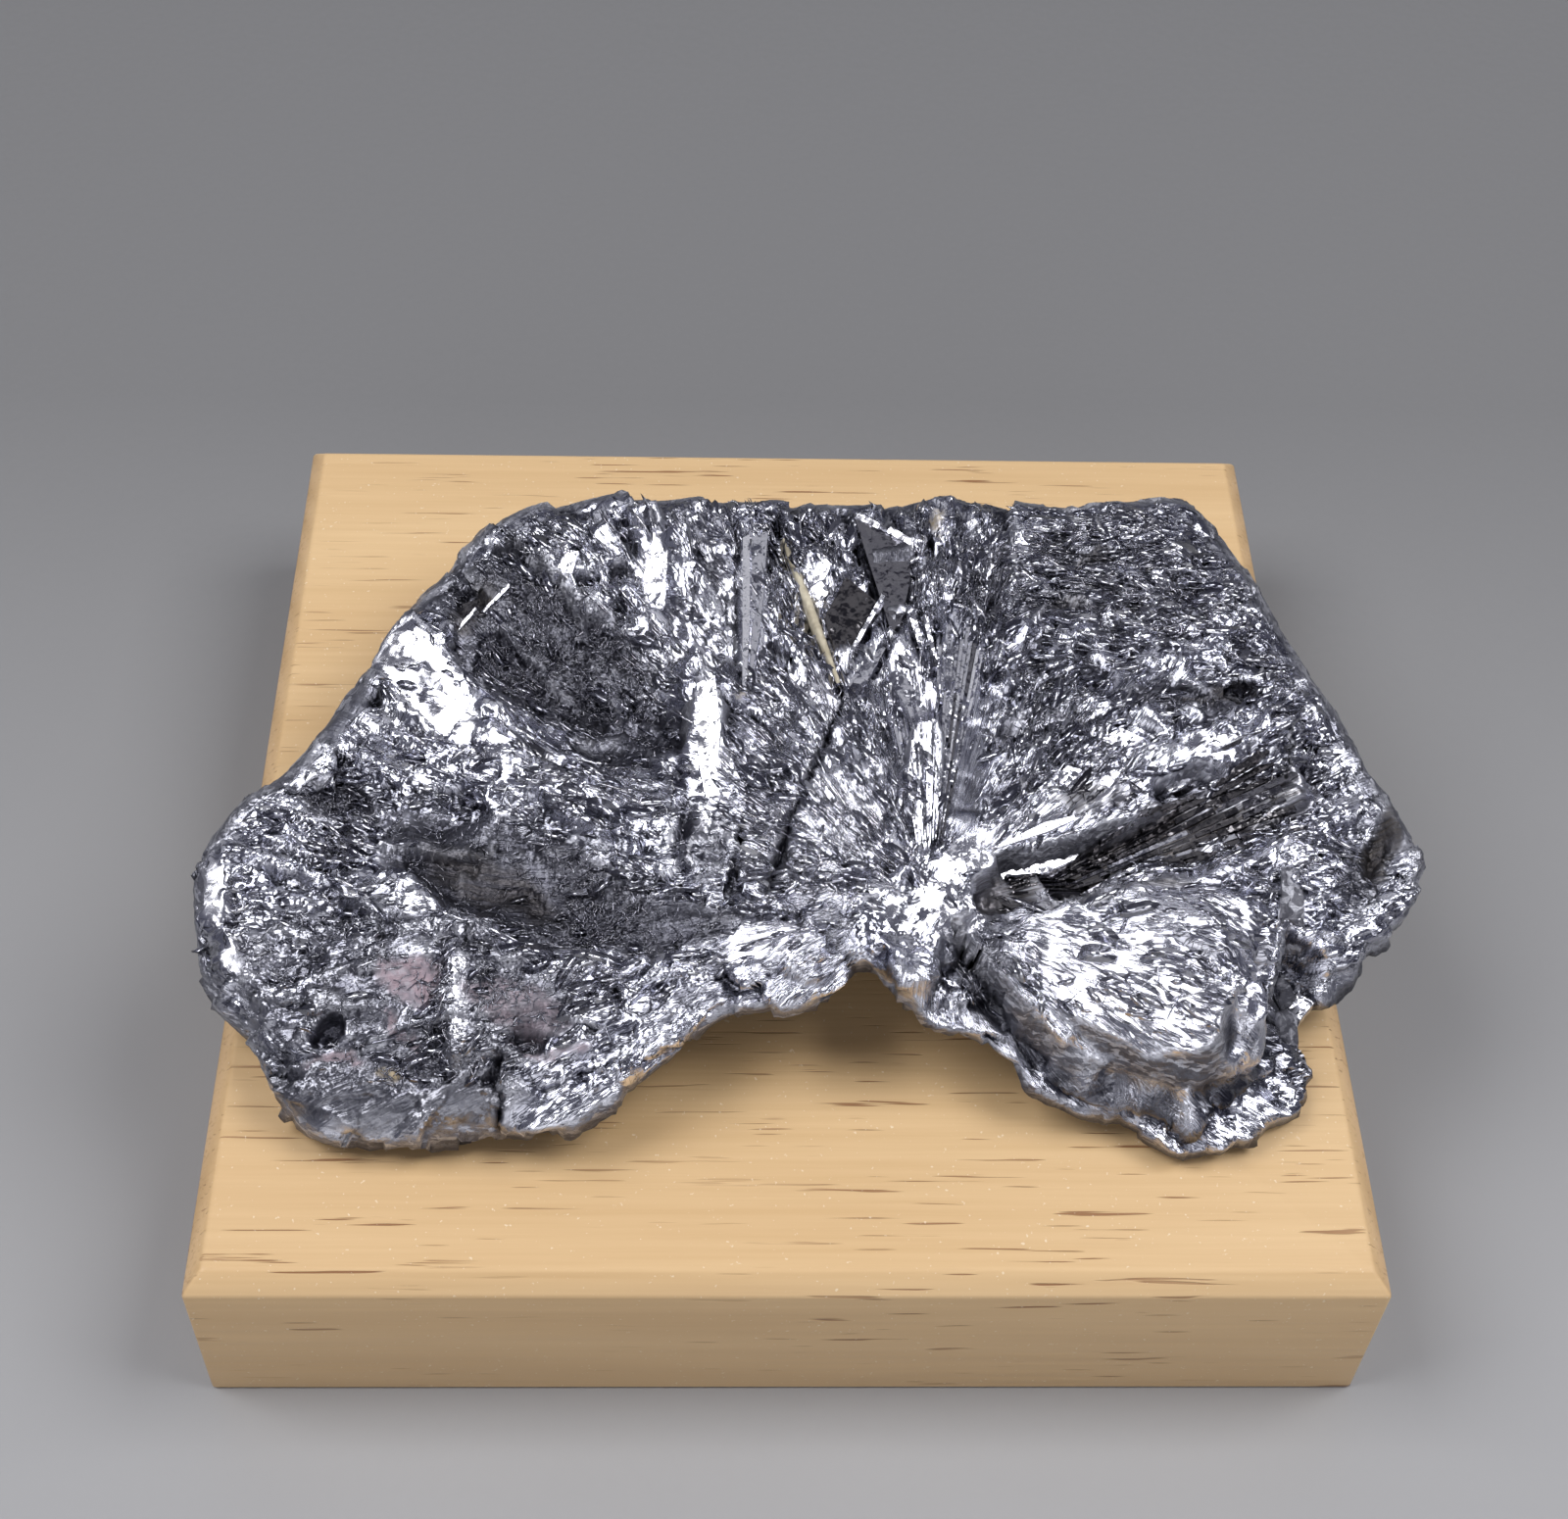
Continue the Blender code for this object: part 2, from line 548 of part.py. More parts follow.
def loft_mass(collection, material):
    """The whole mass as one closed skin over its section loops."""
    loops = crumpled(station_loops())
    bm = bmesh.new()
    rings = [[bm.verts.new(place(point)) for point in loop] for loop in loops]
    left = bm.verts.new(place(tip_point(FRONT_EDGE[0])))
    right = bm.verts.new(place(tip_point(FRONT_EDGE[-1])))
    around = len(rings[0])
    for ring, after in zip(rings, rings[1:]):
        for step in range(around):
            onward = (step + 1) % around
            bm.faces.new((ring[step], after[step], after[onward], ring[onward]))
    for step in range(around):
        onward = (step + 1) % around
        bm.faces.new((left, rings[0][step], rings[0][onward]))
        bm.faces.new((right, rings[-1][onward], rings[-1][step]))
    bmesh.ops.triangulate(bm, faces=bm.faces[:], quad_method="BEAUTY")
    bmesh.ops.recalc_face_normals(bm, faces=bm.faces[:])
    return object_from(bm, "molybdenite_mass", collection, material)


def sliver_body(name, grow, rise, collection, material=None):
    """The sliver as a long wedge, thin at both ends, grown on every side and raised at the top."""
    start = np.array(SLIVER_BACK)
    run = np.array(SLIVER_FRONT) - start
    length = math.hypot(*run)
    bm = bmesh.new()
    bmesh.ops.create_cube(bm, size=1.0)
    bmesh.ops.subdivide_edges(
        bm,
        edges=[edge for edge in bm.edges if abs(edge.verts[0].co.x - edge.verts[1].co.x) > 0.5],
        cuts=7,
    )
    depth = SLIVER_DEPTH + grow
    for vert in bm.verts:
        share = vert.co.x
        taper = 1.0 - 0.55 * (2.0 * abs(share)) ** 2
        keel = 0.55 if vert.co.z < 0.0 else 1.0
        half = 0.5 * SLIVER_WIDTH * taper * keel + grow
        vert.co.x = share * (length + 2.0 * grow)
        vert.co.y = math.copysign(half, vert.co.y)
        vert.co.z = rise if vert.co.z > 0.0 else -depth
    bmesh.ops.recalc_face_normals(bm, faces=bm.faces[:])
    bmesh.ops.scale(bm, vec=(MM, MM, MM), verts=bm.verts[:])
    made = object_from(bm, name, collection, material)
    middle = start + 0.5 * run
    made.location = place((middle[0], middle[1], SLIVER_TOP))
    made.rotation_euler.z = math.atan2(run[1], run[0])
    return made


def cut_slot(mass, cutter):
    """Cut the sliver's slot out of the mass."""
    cutter.hide_render = True
    cutter.display_type = "WIRE"
    cut = mass.modifiers.new("sliver slot", "BOOLEAN")
    cut.operation = "DIFFERENCE"
    cut.object = cutter


def pine_block(collection, material):
    """The square block with a chamfer round its top face."""
    bm = bmesh.new()
    bmesh.ops.create_cube(bm, size=1.0)
    bmesh.ops.scale(bm, vec=(BLOCK_SIDE, BLOCK_SIDE, BLOCK_HEIGHT), verts=bm.verts[:])
    bmesh.ops.translate(bm, vec=(0.0, 0.0, 0.5 * BLOCK_HEIGHT), verts=bm.verts[:])
    top_edges = [edge for edge in bm.edges if min(v.co.z for v in edge.verts) > 0.9 * BLOCK_HEIGHT]
    bmesh.ops.bevel(bm, geom=top_edges, offset=BLOCK_CHAMFER, segments=1, affect="EDGES")
    return object_from(bm, "wood_block", collection, material)


def main():
    """Build the block, the mass and the sliver."""
    clear_scene()
    parts = new_collection("molybdenite specimen")
    cutters = new_collection("cutters")
    pine_block(parts, new_material("pine", PINE))
    mass = loft_mass(parts, new_material("molybdenite", MOLYBDENITE))
    sliver_body("quartz_sliver", 0.0, 0.0, parts, new_material("quartz", QUARTZ))
    slot = sliver_body("sliver_cutter", SLIVER_CLEARANCE, 6.0, cutters)
    cut_slot(mass, slot)


main()
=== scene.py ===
"""Looks of a molybdenite specimen that lies on a square block of pine.

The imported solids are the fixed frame. The mass is rebuilt as one fine skin over the same named
outline, spot heights, plates, ridges and hollows, and then gets smaller facets, streaks, flakes and
fibres. The quartz sliver and the pine block get fine skins of their own. Lengths are in millimetres
above the block's top unless a name says otherwise, and meshes are in metres.
"""

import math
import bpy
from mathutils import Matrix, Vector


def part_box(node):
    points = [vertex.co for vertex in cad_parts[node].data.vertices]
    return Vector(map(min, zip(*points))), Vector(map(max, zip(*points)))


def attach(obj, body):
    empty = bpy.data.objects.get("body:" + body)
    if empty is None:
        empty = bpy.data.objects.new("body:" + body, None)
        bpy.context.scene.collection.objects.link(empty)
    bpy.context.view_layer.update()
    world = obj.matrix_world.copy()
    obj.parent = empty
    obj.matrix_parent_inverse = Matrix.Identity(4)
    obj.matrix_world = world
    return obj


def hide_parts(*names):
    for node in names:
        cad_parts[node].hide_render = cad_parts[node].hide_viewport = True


bl_info = {
    "name": "Molybdenite specimen",
    "version": (1, 0, 0),
    "blender": (4, 5, 0),
    "location": "View3D > Sidebar > Specimen",
    "description": "Builds a foliated molybdenite specimen on a pine block",
    "category": "Add Mesh",
}

import bmesh
import bpy
import numpy as np
from bpy.props import FloatProperty, FloatVectorProperty, IntProperty, PointerProperty
from mathutils import Matrix, Vector

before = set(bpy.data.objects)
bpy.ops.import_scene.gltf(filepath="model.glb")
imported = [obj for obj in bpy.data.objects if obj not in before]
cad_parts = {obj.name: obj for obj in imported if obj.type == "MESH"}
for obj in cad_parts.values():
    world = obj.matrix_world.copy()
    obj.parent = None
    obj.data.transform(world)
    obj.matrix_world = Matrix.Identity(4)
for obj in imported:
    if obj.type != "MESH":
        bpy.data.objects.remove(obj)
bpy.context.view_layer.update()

MM = 0.001
NO_TRIANGLES = np.zeros((0, 3), dtype=int)
BLOCK_LOW, BLOCK_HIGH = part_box("wood_block")
BLOCK_TOP = BLOCK_HIGH.z

# Rim and edges of the mass, as in its solid. Lengths are in millimetres.
REST_GAP = 0.3
RIM_ROUND_LEAST = 1.6
RIM_ROUND_MOST = 5.5
TOP_SHARE_OF_RIM = 0.52
EDGE_CROWDING = 0.55
OUTLINE_POINTS = 240
LEAST_THICKNESS = 2.2

# The point that the blades radiate from, in millimetres in plan.
FOCUS = (12.0, -21.5)

# Plan outline in millimetres, both edges from the left tip to the right tip.
FRONT_EDGE = (
    (-53.3, -17), (-52.2, -23), (-49.4, -27.3), (-45.9, -31.4), (-43.6, -35.7), (-39, -38.6),
    (-32, -39), (-26, -38.5), (-20.5, -38.6), (-15, -36.3), (-10, -33.8), (-6.4, -30.8),
    (-1, -30.4), (3.8, -29.2), (6.2, -26.2), (8.6, -28.8), (12.5, -31), (16.5, -31.4),
    (19.4, -33), (24, -34.8), (30, -35.8), (34.5, -38.2), (40, -35.8), (44.8, -32.8),
    (44.8, -29.4), (42, -26.8), (45.4, -25.2), (50.6, -22.2), (56, -17), (58.8, -11.8),
)
BACK_EDGE = (
    (-53.3, -17), (-53, -13.2), (-50.2, -8.6), (-45.3, -3.4), (-40.9, 5.2), (-36.6, 14.4),
    (-31.5, 23.4), (-26.3, 29.2), (-19, 30.8), (-6, 30.6), (4, 29.9), (14, 30.3),
    (26, 30.2), (36, 31), (41.6, 30.5), (44.9, 25.2), (50.2, 9.4), (53.6, -0.3),
    (57.4, -8.6), (58.8, -11.8),
)

# Spot heights of the top, in millimetres: x, y, height above the block.
TOP_SPOTS = (
    # back rim
    (-26, 28, 13), (-10, 29, 14), (5, 29, 14.5), (20, 29, 14.5), (40, 29, 14),
    # right rim and tip
    (46, 20, 13.8), (50, 8, 13.4), (54, -2, 12.6), (57, -9, 10.4), (55, -17, 8.4), (49, -22, 8.8),
    (43, -26, 8.4),
    # edge over the arch
    (14, -30, 12.2), (6, -26, 12.6), (0, -30, 12.2), (-6, -30, 11.6), (-12, -33, 9.4),
    # left rim
    (-52, -21, 8.6), (-52, -13, 11), (-46, -5, 12.8), (-41, 6, 14), (-36, 15, 13.8), (-30, 24, 13.4),
    # far wall and floor of the left hollow
    (-23, 19, 13.2), (-23, 14, 11.4), (-21, 6, 9.4), (-27, 6, 10), (-15, 3, 10.2), (-18, -3, 10.9),
    # spur between the two hollows, then its outer face
    (-34, 11, 14.2), (-28, 2, 13.8), (-20, -7, 13.2), (-14, -14, 13), (-36, 3, 12.4), (-30, -5, 11.6),
    # small hollow by the left rim
    (-41, -6, 10.6), (-46, -12, 11.2),
    # front hollow
    (-27, -18, 9), (-18, -21, 9.2), (-34, -14, 10), (-22, -13, 11.2), (-12, -21, 10.8),
    # wall between the front hollow and the left lobe
    (-35, -20, 11.6), (-26, -25, 11.4), (-18, -27, 11.2), (-11, -29, 11.4),
    # left lobe: top, then front shoulder
    (-34, -28, 10.8), (-22, -30, 10.2), (-43, -23, 10), (-41, -33, 7.6), (-30, -36, 7.2), (-21, -36, 7.6),
    # radiating middle
    (-14, 21, 13.6), (-10, 16, 13.8), (-4, 22, 14.2), (-11, -2, 12.4), (-6, -4, 15), (-5, -14, 14.8),
    (-2, 4, 14.6), (3, 12, 14.2), (7, 22, 14.2), (5, 1, 14.4), (6, -11, 14.6), (-1, -18, 14),
    (0, -25, 14), (13, 10, 15), (16, 3, 15.6), (14, -14, 15.8), (11, -23, 14.6), (11, -28, 13),
    # right block
    (25, 21, 14.8), (36, 19, 14.8), (26, 6, 15), (35, 7, 14.6), (44, 4, 13.8), (22, -6, 14.8),
    (31, -4, 15), (40, -1, 14.8),
    # wall above the trough, then its bottom
    (19, -15, 14.8), (26, -12, 14.4), (35, -7, 13.6), (46, -2, 13.4), (18, -21, 12.2), (26, -16, 10.4),
    (35, -12, 9.8), (45, -8, 9.8), (52, -5, 10.6),
    # right lobe: crest, then the foot of its great face
    (22, -24, 13.8), (29, -21, 15), (38, -21, 14.4), (40, -27, 12.6), (48, -16, 12.2), (21, -32, 9.8),
    (29, -34, 8.8), (35, -35, 8.4),
    # recess by the right tip
    (53, -12, 8.8), (49, -19, 9.2),
)

# Spot heights of the underside, in millimetres: x, y, height above the block.
UNDER_SPOTS = (
    # left foot and the rise behind it
    (-34, -32, 0), (-40, -28, 0.4), (-28, -33, 0.4), (-46, -20, 3.5), (-48, -12, 6), (-40, 0, 6.8),
    (-34, 10, 6.8), (-27, 20, 6.2),
    # right foot and the rise behind it
    (34, -33, 0), (40, -30, 0.4), (27, -32, 1.4), (50, -18, 3.8), (54, -10, 5.4), (50, 2, 6.2),
    (44, 18, 6.2), (38, 26, 6.6),
    # back foot and the rim behind it
    (5, 17, 0), (-8, 17, 0.8), (18, 17, 0.8), (5, 28, 5.8), (-15, 27, 5.8), (25, 28, 6),
    # arch between the lobes
    (3, -28, 9.6), (12, -29, 8.8), (-6, -29, 8.6), (3, -15, 8.4), (-14, -21, 5.8), (17, -21, 5.8),
    # middle
    (0, 0, 5), (-24, -5, 3.8), (30, -5, 4),
)

# Flat plates set into the top: centre in plan, half length, half width, bearing of the length in
# degrees from +X, slopes of the plate (rise towards +X, rise towards +Y) and lift, in millimetres.
FACES_LEFT = (0.34, 0.38)
FACES_RIGHT = (-0.34, 0.38)
FACES_FRONT = (0.0, 0.28)
NEAR_LEVEL = (0.05, 0.04)
PLATE_END_EASE = 1.6
PLATE_SIDE_EASE = 0.9
PLATES = (
    # outer face of the spur, and the streak below it
    ((-33.5, 5.1), 6.3, 2.8, -50, FACES_LEFT, 0.2),
    ((-22.3, -7.4), 8.6, 1.4, -45, FACES_LEFT, 0.3),
    # edge in the left hollow
    ((-28.6, 12.9), 3.8, 0.9, 42, FACES_RIGHT, 0.6),
    # left rim
    ((-51.2, -16.7), 3.1, 1.2, -83, (0.50, 0.30), 0.3),
    ((-49.8, -22.8), 2.3, 1.1, -63, (0.50, 0.30), 0.3),
    # tall wedge, and the blades behind it
    ((-8, -6.9), 7.6, 1.6, -94, (0.40, 0.30), 0.2),
    ((-13.2, 20.3), 6.1, 1.4, -82, FACES_LEFT, 0.4),
    ((-16.9, 21.7), 3.3, 1.3, -67, FACES_LEFT, 0.3),
    ((-10.3, 15.3), 7.1, 1, -88, FACES_LEFT, 0.5),
    # pale upright blade
    ((-3.3, 13.7), 11.1, 1.4, -91, NEAR_LEVEL, 0.6),
    # plates crossing between the cracks
    ((3.3, 18.1), 2.5, 1.5, -95, FACES_RIGHT, 0.1),
    ((6.2, 13.1), 3.9, 1.8, -113, (-0.10, 0.20), 0),
    ((7.3, 5.8), 3.5, 1.3, -120, (0.25, 0.15), 0.2),
    ((10.6, 17.6), 3.5, 2.3, -92, FACES_FRONT, -0.2),
    # fan blade, white ridge and striated bundle
    ((11.5, 3.6), 5.9, 1.3, -71, FACES_LEFT, 0.4),
    ((12.1, -12.2), 8.1, 1.7, -93, FACES_LEFT, 0.5),
    ((15.8, -2.3), 14.1, 1.9, -94, (-0.16, 0.08), 0.6),
    # boss at the focus
    ((11.4, -23.6), 3.2, 2.8, -128, FACES_LEFT, 0.3),
    # crests above the trough, then the plates in it
    ((22.7, -14.9), 8.1, 1, 22, FACES_RIGHT, 0.7),
    ((21.1, -17.6), 5.9, 0.8, 25, FACES_RIGHT, 0.5),
    ((40.8, -6.3), 7.2, 1.6, -159, FACES_FRONT, -0.1),
    ((33.4, -12), 15, 1.7, -156, (0.03, 0.22), -0.5),
    ((19.6, -19), 3.6, 1.6, -150, (-0.10, 0.16), -0.4),
    # great face of the right lobe
    ((28.9, -29.5), 8.3, 3.8, -30, (0.22, 0.42), 0.2),
    # chips on the right block
    ((29.3, -7.6), 1.4, 1, 14, FACES_RIGHT, 0.3),
    ((38.9, -4.2), 1.8, 1, -8, FACES_RIGHT, 0.3),
    ((43.8, -2.6), 1.4, 1.1, -45, FACES_LEFT, 0.3),
)

# Creased ridges: the points of the crest, half width and height, in millimetres.
RIDGES = (
    # rim of the left lobe against the front hollow
    (((-34.7, -16.2), (-30.6, -20.8), (-24.4, -24.9), (-15.2, -25.9), (-10.1, -27.5)), 2, 1),
    # crest of the spur
    (((-36.4, 10), (-31.3, 2.9), (-25.2, -4.2), (-17.1, -12.3)), 2.4, 0.8),
    # blades of the middle
    (((-9.8, 22.8), (-8.8, 6.6), (-6.5, -6.5), (-8, -17.6)), 1.8, 0.9),
    (((1.6, 2.2), (0.9, -10.9), (3.6, -21)), 1.8, 0.9),
    (((6.7, 26.5), (12.7, 22)), 1.4, 0.9),
    # chain along the front of the right block
    (((28.3, -6.2), (38.4, -3.2), (46.5, -1.1)), 2, 0.8),
    # crest of the right lobe, and the rib between the trough's plates
    (((20.5, -23.7), (28.7, -21.7), (35.6, -24.4)), 2.2, 0.8),
    (((47.6, -6.5), (34.2, -9.5), (24, -14.6)), 1, 0.6),
    # rim outside the recess by the right tip
    (((58, -11.5), (55.8, -16), (50.5, -21)), 1.4, 1),
    # streak over the left lobe, and the lip right of the notch
    (((-28.8, -24.5), (-28.8, -33.8)), 1.6, 0.8),
    (((7.3, -24.2), (10.4, -29.3)), 1.5, 0.8),
)

# Hollows and pits: centre, half length, half width, bearing of the length in degrees, depth.
HOLLOWS = (
    ((-22, 13.5), 7, 4, 10, 0.6),
    ((-19.3, 18.1), 1.7, 1.5, 0, 1.8),
    ((-16, 19.5), 1.6, 1.4, 0, 1.8),
    ((-29.9, 15.2), 3, 1.6, 50, 0.8),
    ((-44.8, -16.5), 3.2, 1.3, -24, 1.3),
    ((-41, -7), 3.4, 2.4, 0, 0.6),
    ((-39.9, -31), 2.2, 1.5, 20, 1.8),
    ((-22.1, -32.4), 2.4, 1.6, 0, 1.6),
    ((-0.9, -16.7), 4.2, 1.4, 78, 1.4),
    ((37.5, 2.8), 2.6, 1.5, 0, 1.6),
    ((42.7, 3.6), 2, 1.5, 0, 1.4),
    ((54, -11.6), 4.4, 1.3, 66, 1.2),
    ((23.3, 14.7), 3, 1.6, -60, 0.8),
    ((24, -20), 5, 1.7, 28, 0.8),
    # bulbs on both sides of the front notch, which are raised
    ((1, -26.6), 3.8, 2.6, 0, -1.3),
    ((10.6, -27.6), 2.6, 2, -20, -1),
    # rounded nose at the end of the right lobe's great face, which is raised
    ((39.4, -30.4), 3.4, 2.8, -40, -1.5),
)

# The step round the front of the right lobe: its line in plan, drop, width and reach, in millimetres.
STEP_LINE = (
    (18.7, -28.8), (20.6, -30.9), (22.6, -32.9), (25.4, -34), (29.4, -34.8), (33, -35.4),
    (36.8, -34.8), (40, -32.8), (41.6, -30.4), (42.2, -28),
)
STEP_DROP = 3.6
STEP_WIDTH = 1.3
STEP_REACH = 8.0

# Long blades of the middle: length, width at the blade radius, spread of slope and of step.
BLADE_LENGTH = 18.0
BLADE_WIDTH = 3.4
BLADE_RADIUS = 28.0
BLADE_SLOPE = 0.30
BLADE_STEP = 0.35
BLADE_SEED = 21
BLADE_FAN_MIDDLE = math.radians(100.0)
BLADE_FAN_SPREAD = math.radians(64.0)

# Flat facets of the crumpled skin: size, how much longer than wide they are along the blades, spread
# of slope and of step, how far the facets' borders wander, in millimetres, how much of them a flat
# plate takes away, and the share of them left where the skin turns over the rim.
FACET_SIZE = 4.4
FACET_STRETCH = 1.6
FACET_SLOPE = 0.20
FACET_STEP = 0.24
FACET_WANDER = 1.2
PLATE_CALM = 0.8
RIM_SHARE = 0.6
FACET_SEED = 31
LATTICE = 32

# The sliver of quartz: its two ends in plan, width, depth and height of its top, in millimetres.
SLIVER_BACK = (0.0, 23.0)
SLIVER_FRONT = (4.8, 4.2)
SLIVER_WIDTH = 1.0
SLIVER_DEPTH = 3.4
SLIVER_TOP = 14.4

# Finer relief of the skin. Facets: cell size, stretch, slope, step, wander and seed.
FINE_FACETS = (
    (1.7, 1.8, 0.12, 0.04, 0.5, 41),
    (0.8, 1.9, 0.18, 0.03, 0.3, 51),
)
# Leaves in the skin: length, width at the blade radius, slope, step, drift and seed.
SKIN_LEAVES = (
    (8.0, 1.7, 0.20, 0.13, 1.0, 61),
    (4.0, 0.8, 0.22, 0.05, 0.6, 71),
    (3.0, 0.42, 0.26, 0.02, 0.35, 81),
)
# Narrow wavy belts: points in plan, half width and rise.
BELTS = (
    # round the back of the right block, across it and along its front
    (((20, 21.9), (28.8, 24.5), (36.3, 23), (40.1, 18.4)), 1.2, 0.7),
    (((23.1, 19.1), (33.9, 17.3), (42.8, 6.4), (48.6, 2.1)), 1.4, 0.8),
    (((21, 13.1), (24.6, 15.4), (29.4, 14.4), (36, 8)), 1, 0.6),
    (((18.6, 2.9), (29.6, 0.5), (37.3, -2.4), (48.4, -1.5)), 1.3, 0.8),
    # in front of the spur
    (((-36.6, -0.1), (-30.1, -2.8), (-23.5, -8), (-18, -12.9), (-14.4, -17.3)), 1, 0.7),
    (((-30.4, 3.4), (-24.7, -1.3), (-19, -8.4), (-14.5, -13.8)), 0.9, 0.6),
    # behind the flat of the left lobe
    (((-48, -14.3), (-41.3, -17.3), (-34.8, -21.6), (-28.7, -23.3), (-22.2, -26.3), (-17.5, -26.6)),
     1, 0.8),
    # both sides of the trough
    (((20.7, -23.4), (31.1, -20.8), (45.8, -12.6), (53.4, -7.7)), 1.2, 0.9),
    (((28.7, -11.2), (38.4, -5.5), (48.3, -2.1)), 0.9, 0.6),
)
BELT_STRAY = 0.9

# Behind and east of this point the leaves lie along X instead of round the focus.
EAST_GRAIN = (20.5, 4.0)

# Fans of long narrow plates: the striated bundle behind the focus, the plates in the trough and the
# white fan left of the bundle. First and last bearing from the focus in degrees, lanes, nearest and
# farthest place, lift, most slope across, share of each finish (some with painted highlight or a
# painted brown reflection) and seed.
BUNDLE = (85.7, 76.8, 11, 6.0, 30.7, 0.5, 0.45, {"grey": 0.5, "fresh": 0.3, "dark": 0.2}, 606)
TROUGH = (17.0, 30.0, 10, 8.0, 39.0, 0.2, 0.16, {"brown": 0.62, "dark": 0.3, "grey": 0.08}, 607)
WHITE_FAN = (98.0, 86.6, 12, 5.5, 25.0, 0.25, 0.45, {"fresh": 0.3, "pale": 0.35, "grey": 0.35}, 608)
# In a lane: how far its far end strays, least room for one more plate, least and most length of a plate,
# most gap after it, and how much of the lane's width it fills.
LANE_STAGGER = 3.0
LANE_LEAST = 2.0
LANE_PLATE = (4.0, 9.0)
LANE_GAP = 0.6
LANE_FILLED = 0.85

# Walls of the front: they start in front of this place along Y, their layers are drawn out along X and Y
# and packed along Z by these shares, and the satin lip of the right lobe starts at this height.
LEDGE_START = -14.0
LEDGE_SQUEEZE = (0.25, 0.25, 1.6)
SATIN_LOW = 6.3

# Lumps, layers and chips of the walls, and lumps near the focus. Noises: strength, size and seed. Chips:
# size, stretch, slope, step and seed, and the most that they stand out.
WALL_LUMPS = ((0.9, 4.2, 881), (0.55, 1.9, 882))
WALL_LAYERS = ((1.0, 1.5, 883), (0.6, 0.7, 886))
FOCUS_LUMPS = ((0.7, 2.6, 884), (0.35, 1.2, 885))
WALL_CHIPS = ((2.1, 1.2, 0.22, 0.10, 887), (1.0, 1.2, 0.14, 0.03, 888))
MOST_CHIP = 0.30

# The smooth rim round the left, back and right: how wide it is, and the share of fine relief left on it.
BACK_RIM_WIDTH = 5.0
BACK_RIM_SHARE = 0.08

# The bearing from the focus that turns are counted from, which is the short way to the front edge.
TURN_START = math.radians(-90.0)

# Zones of the top by finish and painted light: centre, half length, half width, bearing of the length,
# strength.
# Felt: a dark matte fibrous finish, whose darkness is partly painted shade of the hollows.
FELT_ZONES = (
    # left hollow, the small hollow by the rim, the front hollow and its eastern end
    ((-22.8, 10.4), 12, 7, -40, 1),
    ((-15.4, 1.5), 7.5, 4, -60, 0.9),
    ((-26.5, 17.5), 4.5, 2, 40, 0.7),
    ((-40.5, -7.7), 3.6, 2.5, 0, 0.9),
    ((-24.5, -16.6), 14.5, 5.4, -26, 1),
    ((-11.5, -22), 7, 2.6, -8, 1),
    ((-8, -15), 3.2, 2.6, -60, 0.7),
    # left lobe as a whole, and its flat round the coloured patches
    ((-34, -27.5), 16, 8, -12, 0.62),
    ((-34.5, -35.6), 12, 3, -4, 0.85),
    ((-37.5, -28.5), 5, 3.6, -10, 0.8),
    ((-23.5, -29.6), 5.2, 2.6, -18, 0.9),
    # dark flat triangle between the cracks, then the dark belts of the right block
    ((10.4, 19), 5.6, 2.3, -92, 1),
    ((26, 14), 8, 2.4, 12, 0.6),
    ((37.8, 2.2), 7.5, 2, 4, 0.9),
    ((29.8, 20.4), 2.6, 1.4, 30, 0.8),
    ((23, -1), 4.5, 3, 60, 0.5),
    # recess by the right tip
    ((53.4, -12.8), 5.8, 1.8, 62, 0.9),
    # dark crumple beside the great face, and the belt behind the crest of the right lobe
    ((16.4, -26.4), 3.2, 2, -60, 0.9),
    ((27.5, -19.4), 7.5, 1.6, 12, 0.9),
)
# Bright zones: lighter metal laid where the faces mirror the lamps, as painted highlight.
BRIGHT_ZONES = (
    # broad weak shine over the middle, behind the spur and over the crest of the right lobe
    ((5, -8), 15, 9, -88, 0.35),
    ((-9, 16), 12, 6, -85, 0.35),
    ((33, -24), 12, 6.5, -20, 0.40),
    # faces that shine most
    ((-34.2, 5.2), 7.4, 3, -52, 1),
    ((-29, -1.4), 4.5, 1, -45, 0.8),
    ((-37, 0.7), 2.6, 1.6, 0, 0.6),
    ((-51, -17), 3.6, 1.2, -80, 1),
    ((-48.9, -23.6), 2, 0.9, -60, 1),
    ((-7.5, -4.6), 9.4, 1.7, -87, 1),
    ((-7.7, 3.2), 4.6, 0.9, -90, 0.8),
    ((-12.6, 18.8), 4.6, 1.5, -84, 0.9),
    ((-9.2, 12), 4, 1.2, -80, 0.6),
    ((-2.8, 13), 10, 1.4, -90, 0.6),
    ((1.4, 3.6), 3, 2.8, 0, 0.7),
    ((11.9, 4), 4.4, 1.2, -62, 0.8),
    ((12.4, -7), 9.5, 1.4, -91, 1),
    ((12, -21.4), 5, 3.2, -10, 1),
    ((-2.2, -25), 3.4, 2, 8, 0.8),
    ((20.6, -12.9), 8.4, 1.1, 27, 1),
    ((14.2, -17), 3, 2.2, 20, 0.9),
    ((27.6, -28.2), 9.4, 3.6, -30, 1),
    ((38.7, -22.6), 2.8, 1.8, 0, 0.5),
    ((-28.4, -29), 4.2, 0.8, -86, 0.9),
    ((3.4, 16.8), 2.4, 1.3, -90, 0.7),
    ((34.6, -4.4), 5.5, 1, 4, 0.6),
    ((29.5, -3.8), 2.8, 1.2, 0, 0.9),
    ((39.6, -3.5), 3.2, 1, -5, 0.9),
    ((25.6, -7.8), 2.4, 1, 10, 0.8),
    ((22, 19.6), 4, 1.8, 60, 0.5),
    ((40.4, 12), 4.6, 1, -55, 0.5),
)
